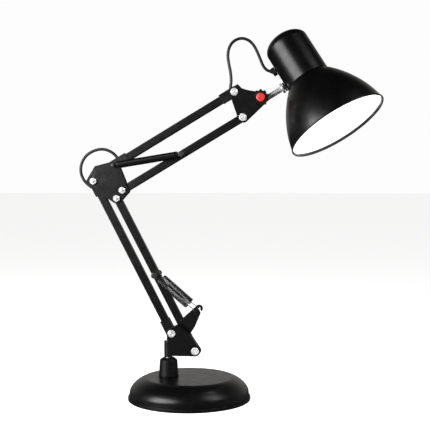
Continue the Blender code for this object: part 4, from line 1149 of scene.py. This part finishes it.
def paint_kept_nodes():
    for node, slot in KEPT_NODES.items():
        obj = frame["nodes"][node]
        for material_slot in obj.material_slots:
            material_slot.material = LOOKS[slot]


# ---------------------------------------------------------------- floor and light
FRONT_TO_BACK = [(0.0, 0.13), (0.4, 0.03), (0.6, 0.05), (1.0, 0.6)]
DOWN_TO_UP = [(0.0, 0.2), (0.4, 0.8), (0.68, 1.0), (0.86, 0.04)]


def area_light(name, place, aim, size, power):
    data = bpy.data.lights.new(name, "AREA")
    data.shape = "RECTANGLE"
    data.size, data.size_y = size
    data.energy = power
    light = bpy.data.objects.new(name, data)
    light.location = place
    direction = Vector(aim) - Vector(place)
    light.rotation_euler = direction.to_track_quat("-Z", "Y").to_euler()
    bpy.context.scene.collection.objects.link(light)
    return light


def make_studio():
    """A pale floor without edges, a pale surround, and soft boxes at the left, front and right."""
    shape = bmesh.new()
    bmesh.ops.create_grid(shape, x_segments=1, y_segments=1, size=30000)
    floor = to_object("floor", shape, Matrix())
    pale = bpy.data.materials.new("pale floor")
    pale.use_nodes = True
    tree = pale.node_tree
    seen = tree.nodes["Principled BSDF"]
    seen.inputs["Base Color"].default_value = (0.9, 0.9, 0.9, 1.0)
    seen.inputs["Roughness"].default_value = 0.9
    seen.inputs["Emission Color"].default_value = (1.0, 1.0, 1.0, 1.0)
    seen.inputs["Emission Strength"].default_value = 0.84
    dim = tree.nodes.new("ShaderNodeBsdfDiffuse")
    dim.inputs["Color"].default_value = (0.12, 0.12, 0.12, 1.0)
    pick(tree, dim.outputs["BSDF"], seen.outputs["BSDF"],
         tree.nodes["Material Output"].inputs["Surface"])
    floor.data.materials.append(pale)

    world = bpy.data.worlds.new("studio")
    bpy.context.scene.world = world
    world.use_nodes = True
    tree = world.node_tree
    seen = tree.nodes["Background"]
    seen.inputs["Color"].default_value = (0.983, 0.983, 0.983, 1.0)
    dim = tree.nodes.new("ShaderNodeBackground")
    dim.inputs["Color"].default_value = (1.0, 0.97, 0.94, 1.0)
    surround(tree, dim.inputs["Strength"])
    pick(tree, dim.outputs["Background"], seen.outputs["Background"],
         tree.nodes["World Output"].inputs["Surface"])

    area_light("left_box", (-1.15, -0.85, 0.5), (0.05, 0, 0.33), (0.75, 1.2), 32)
    area_light("front_box", (-0.95, -1.5, 0.85), (-0.15, 0, 0.48), (0.5, 0.9), 18)
    area_light("right_box", (0.9, -0.43, 0.97), (0.1, -0.03, 0.27), (0.5, 0.75), 5)

    # A fill under the shade's mouth, which lights its white inside and shows in no reflection.
    mouth = SHADE_FRAME @ Vector((0, 0, -100))
    below = SHADE_FRAME @ Vector((0, 0, -560))
    fill = area_light("mouth_fill", below * 0.001, mouth * 0.001, (0.3, 0.3), 9)
    fill.visible_camera = False
    fill.visible_glossy = False
    bpy.context.scene.view_settings.view_transform = "Standard"


def surround(tree, strength):
    """What the lamp reflects: a pale wall low behind it, a dimmer one in front, dark above."""
    direction = tree.nodes.new("ShaderNodeTexCoord").outputs["Generated"]
    split = tree.nodes.new("ShaderNodeSeparateXYZ")
    tree.links.new(direction, split.inputs["Vector"])
    walls = []
    for axis, stops in (("Y", FRONT_TO_BACK), ("Z", DOWN_TO_UP)):
        spread = tree.nodes.new("ShaderNodeMapRange")
        spread.inputs["From Min"].default_value = -1.0
        tree.links.new(split.outputs[axis], spread.inputs["Value"])
        ramp = tree.nodes.new("ShaderNodeValToRGB")
        elements = ramp.color_ramp.elements
        while len(elements) < len(stops):
            elements.new(0.5)
        for element, (position, value) in zip(elements, stops):
            element.position = position
            element.color = (value, value, value, 1.0)
        tree.links.new(spread.outputs["Result"], ramp.inputs["Fac"])
        walls.append(ramp.outputs["Color"])
    times = tree.nodes.new("ShaderNodeMath")
    times.operation = "MULTIPLY"
    tree.links.new(walls[0], times.inputs[0])
    tree.links.new(walls[1], times.inputs[1])
    tree.links.new(times.outputs["Value"], strength)


def pick(tree, dim, seen, surface):
    """The camera sees the pale studio; its reflections and bounced light are dimmer."""
    mix = tree.nodes.new("ShaderNodeMixShader")
    path = tree.nodes.new("ShaderNodeLightPath")
    tree.links.new(path.outputs["Is Camera Ray"], mix.inputs["Fac"])
    tree.links.new(dim, mix.inputs[1])
    tree.links.new(seen, mix.inputs[2])
    tree.links.new(mix.outputs["Shader"], surface)


make_camera()
make_cables()
make_springs()
make_base()
make_swivel()
make_arms()
make_elbow()
make_head()
make_knob()
make_stem()
make_neck()
make_reflector()
make_lamp()
paint_kept_nodes()
make_studio()
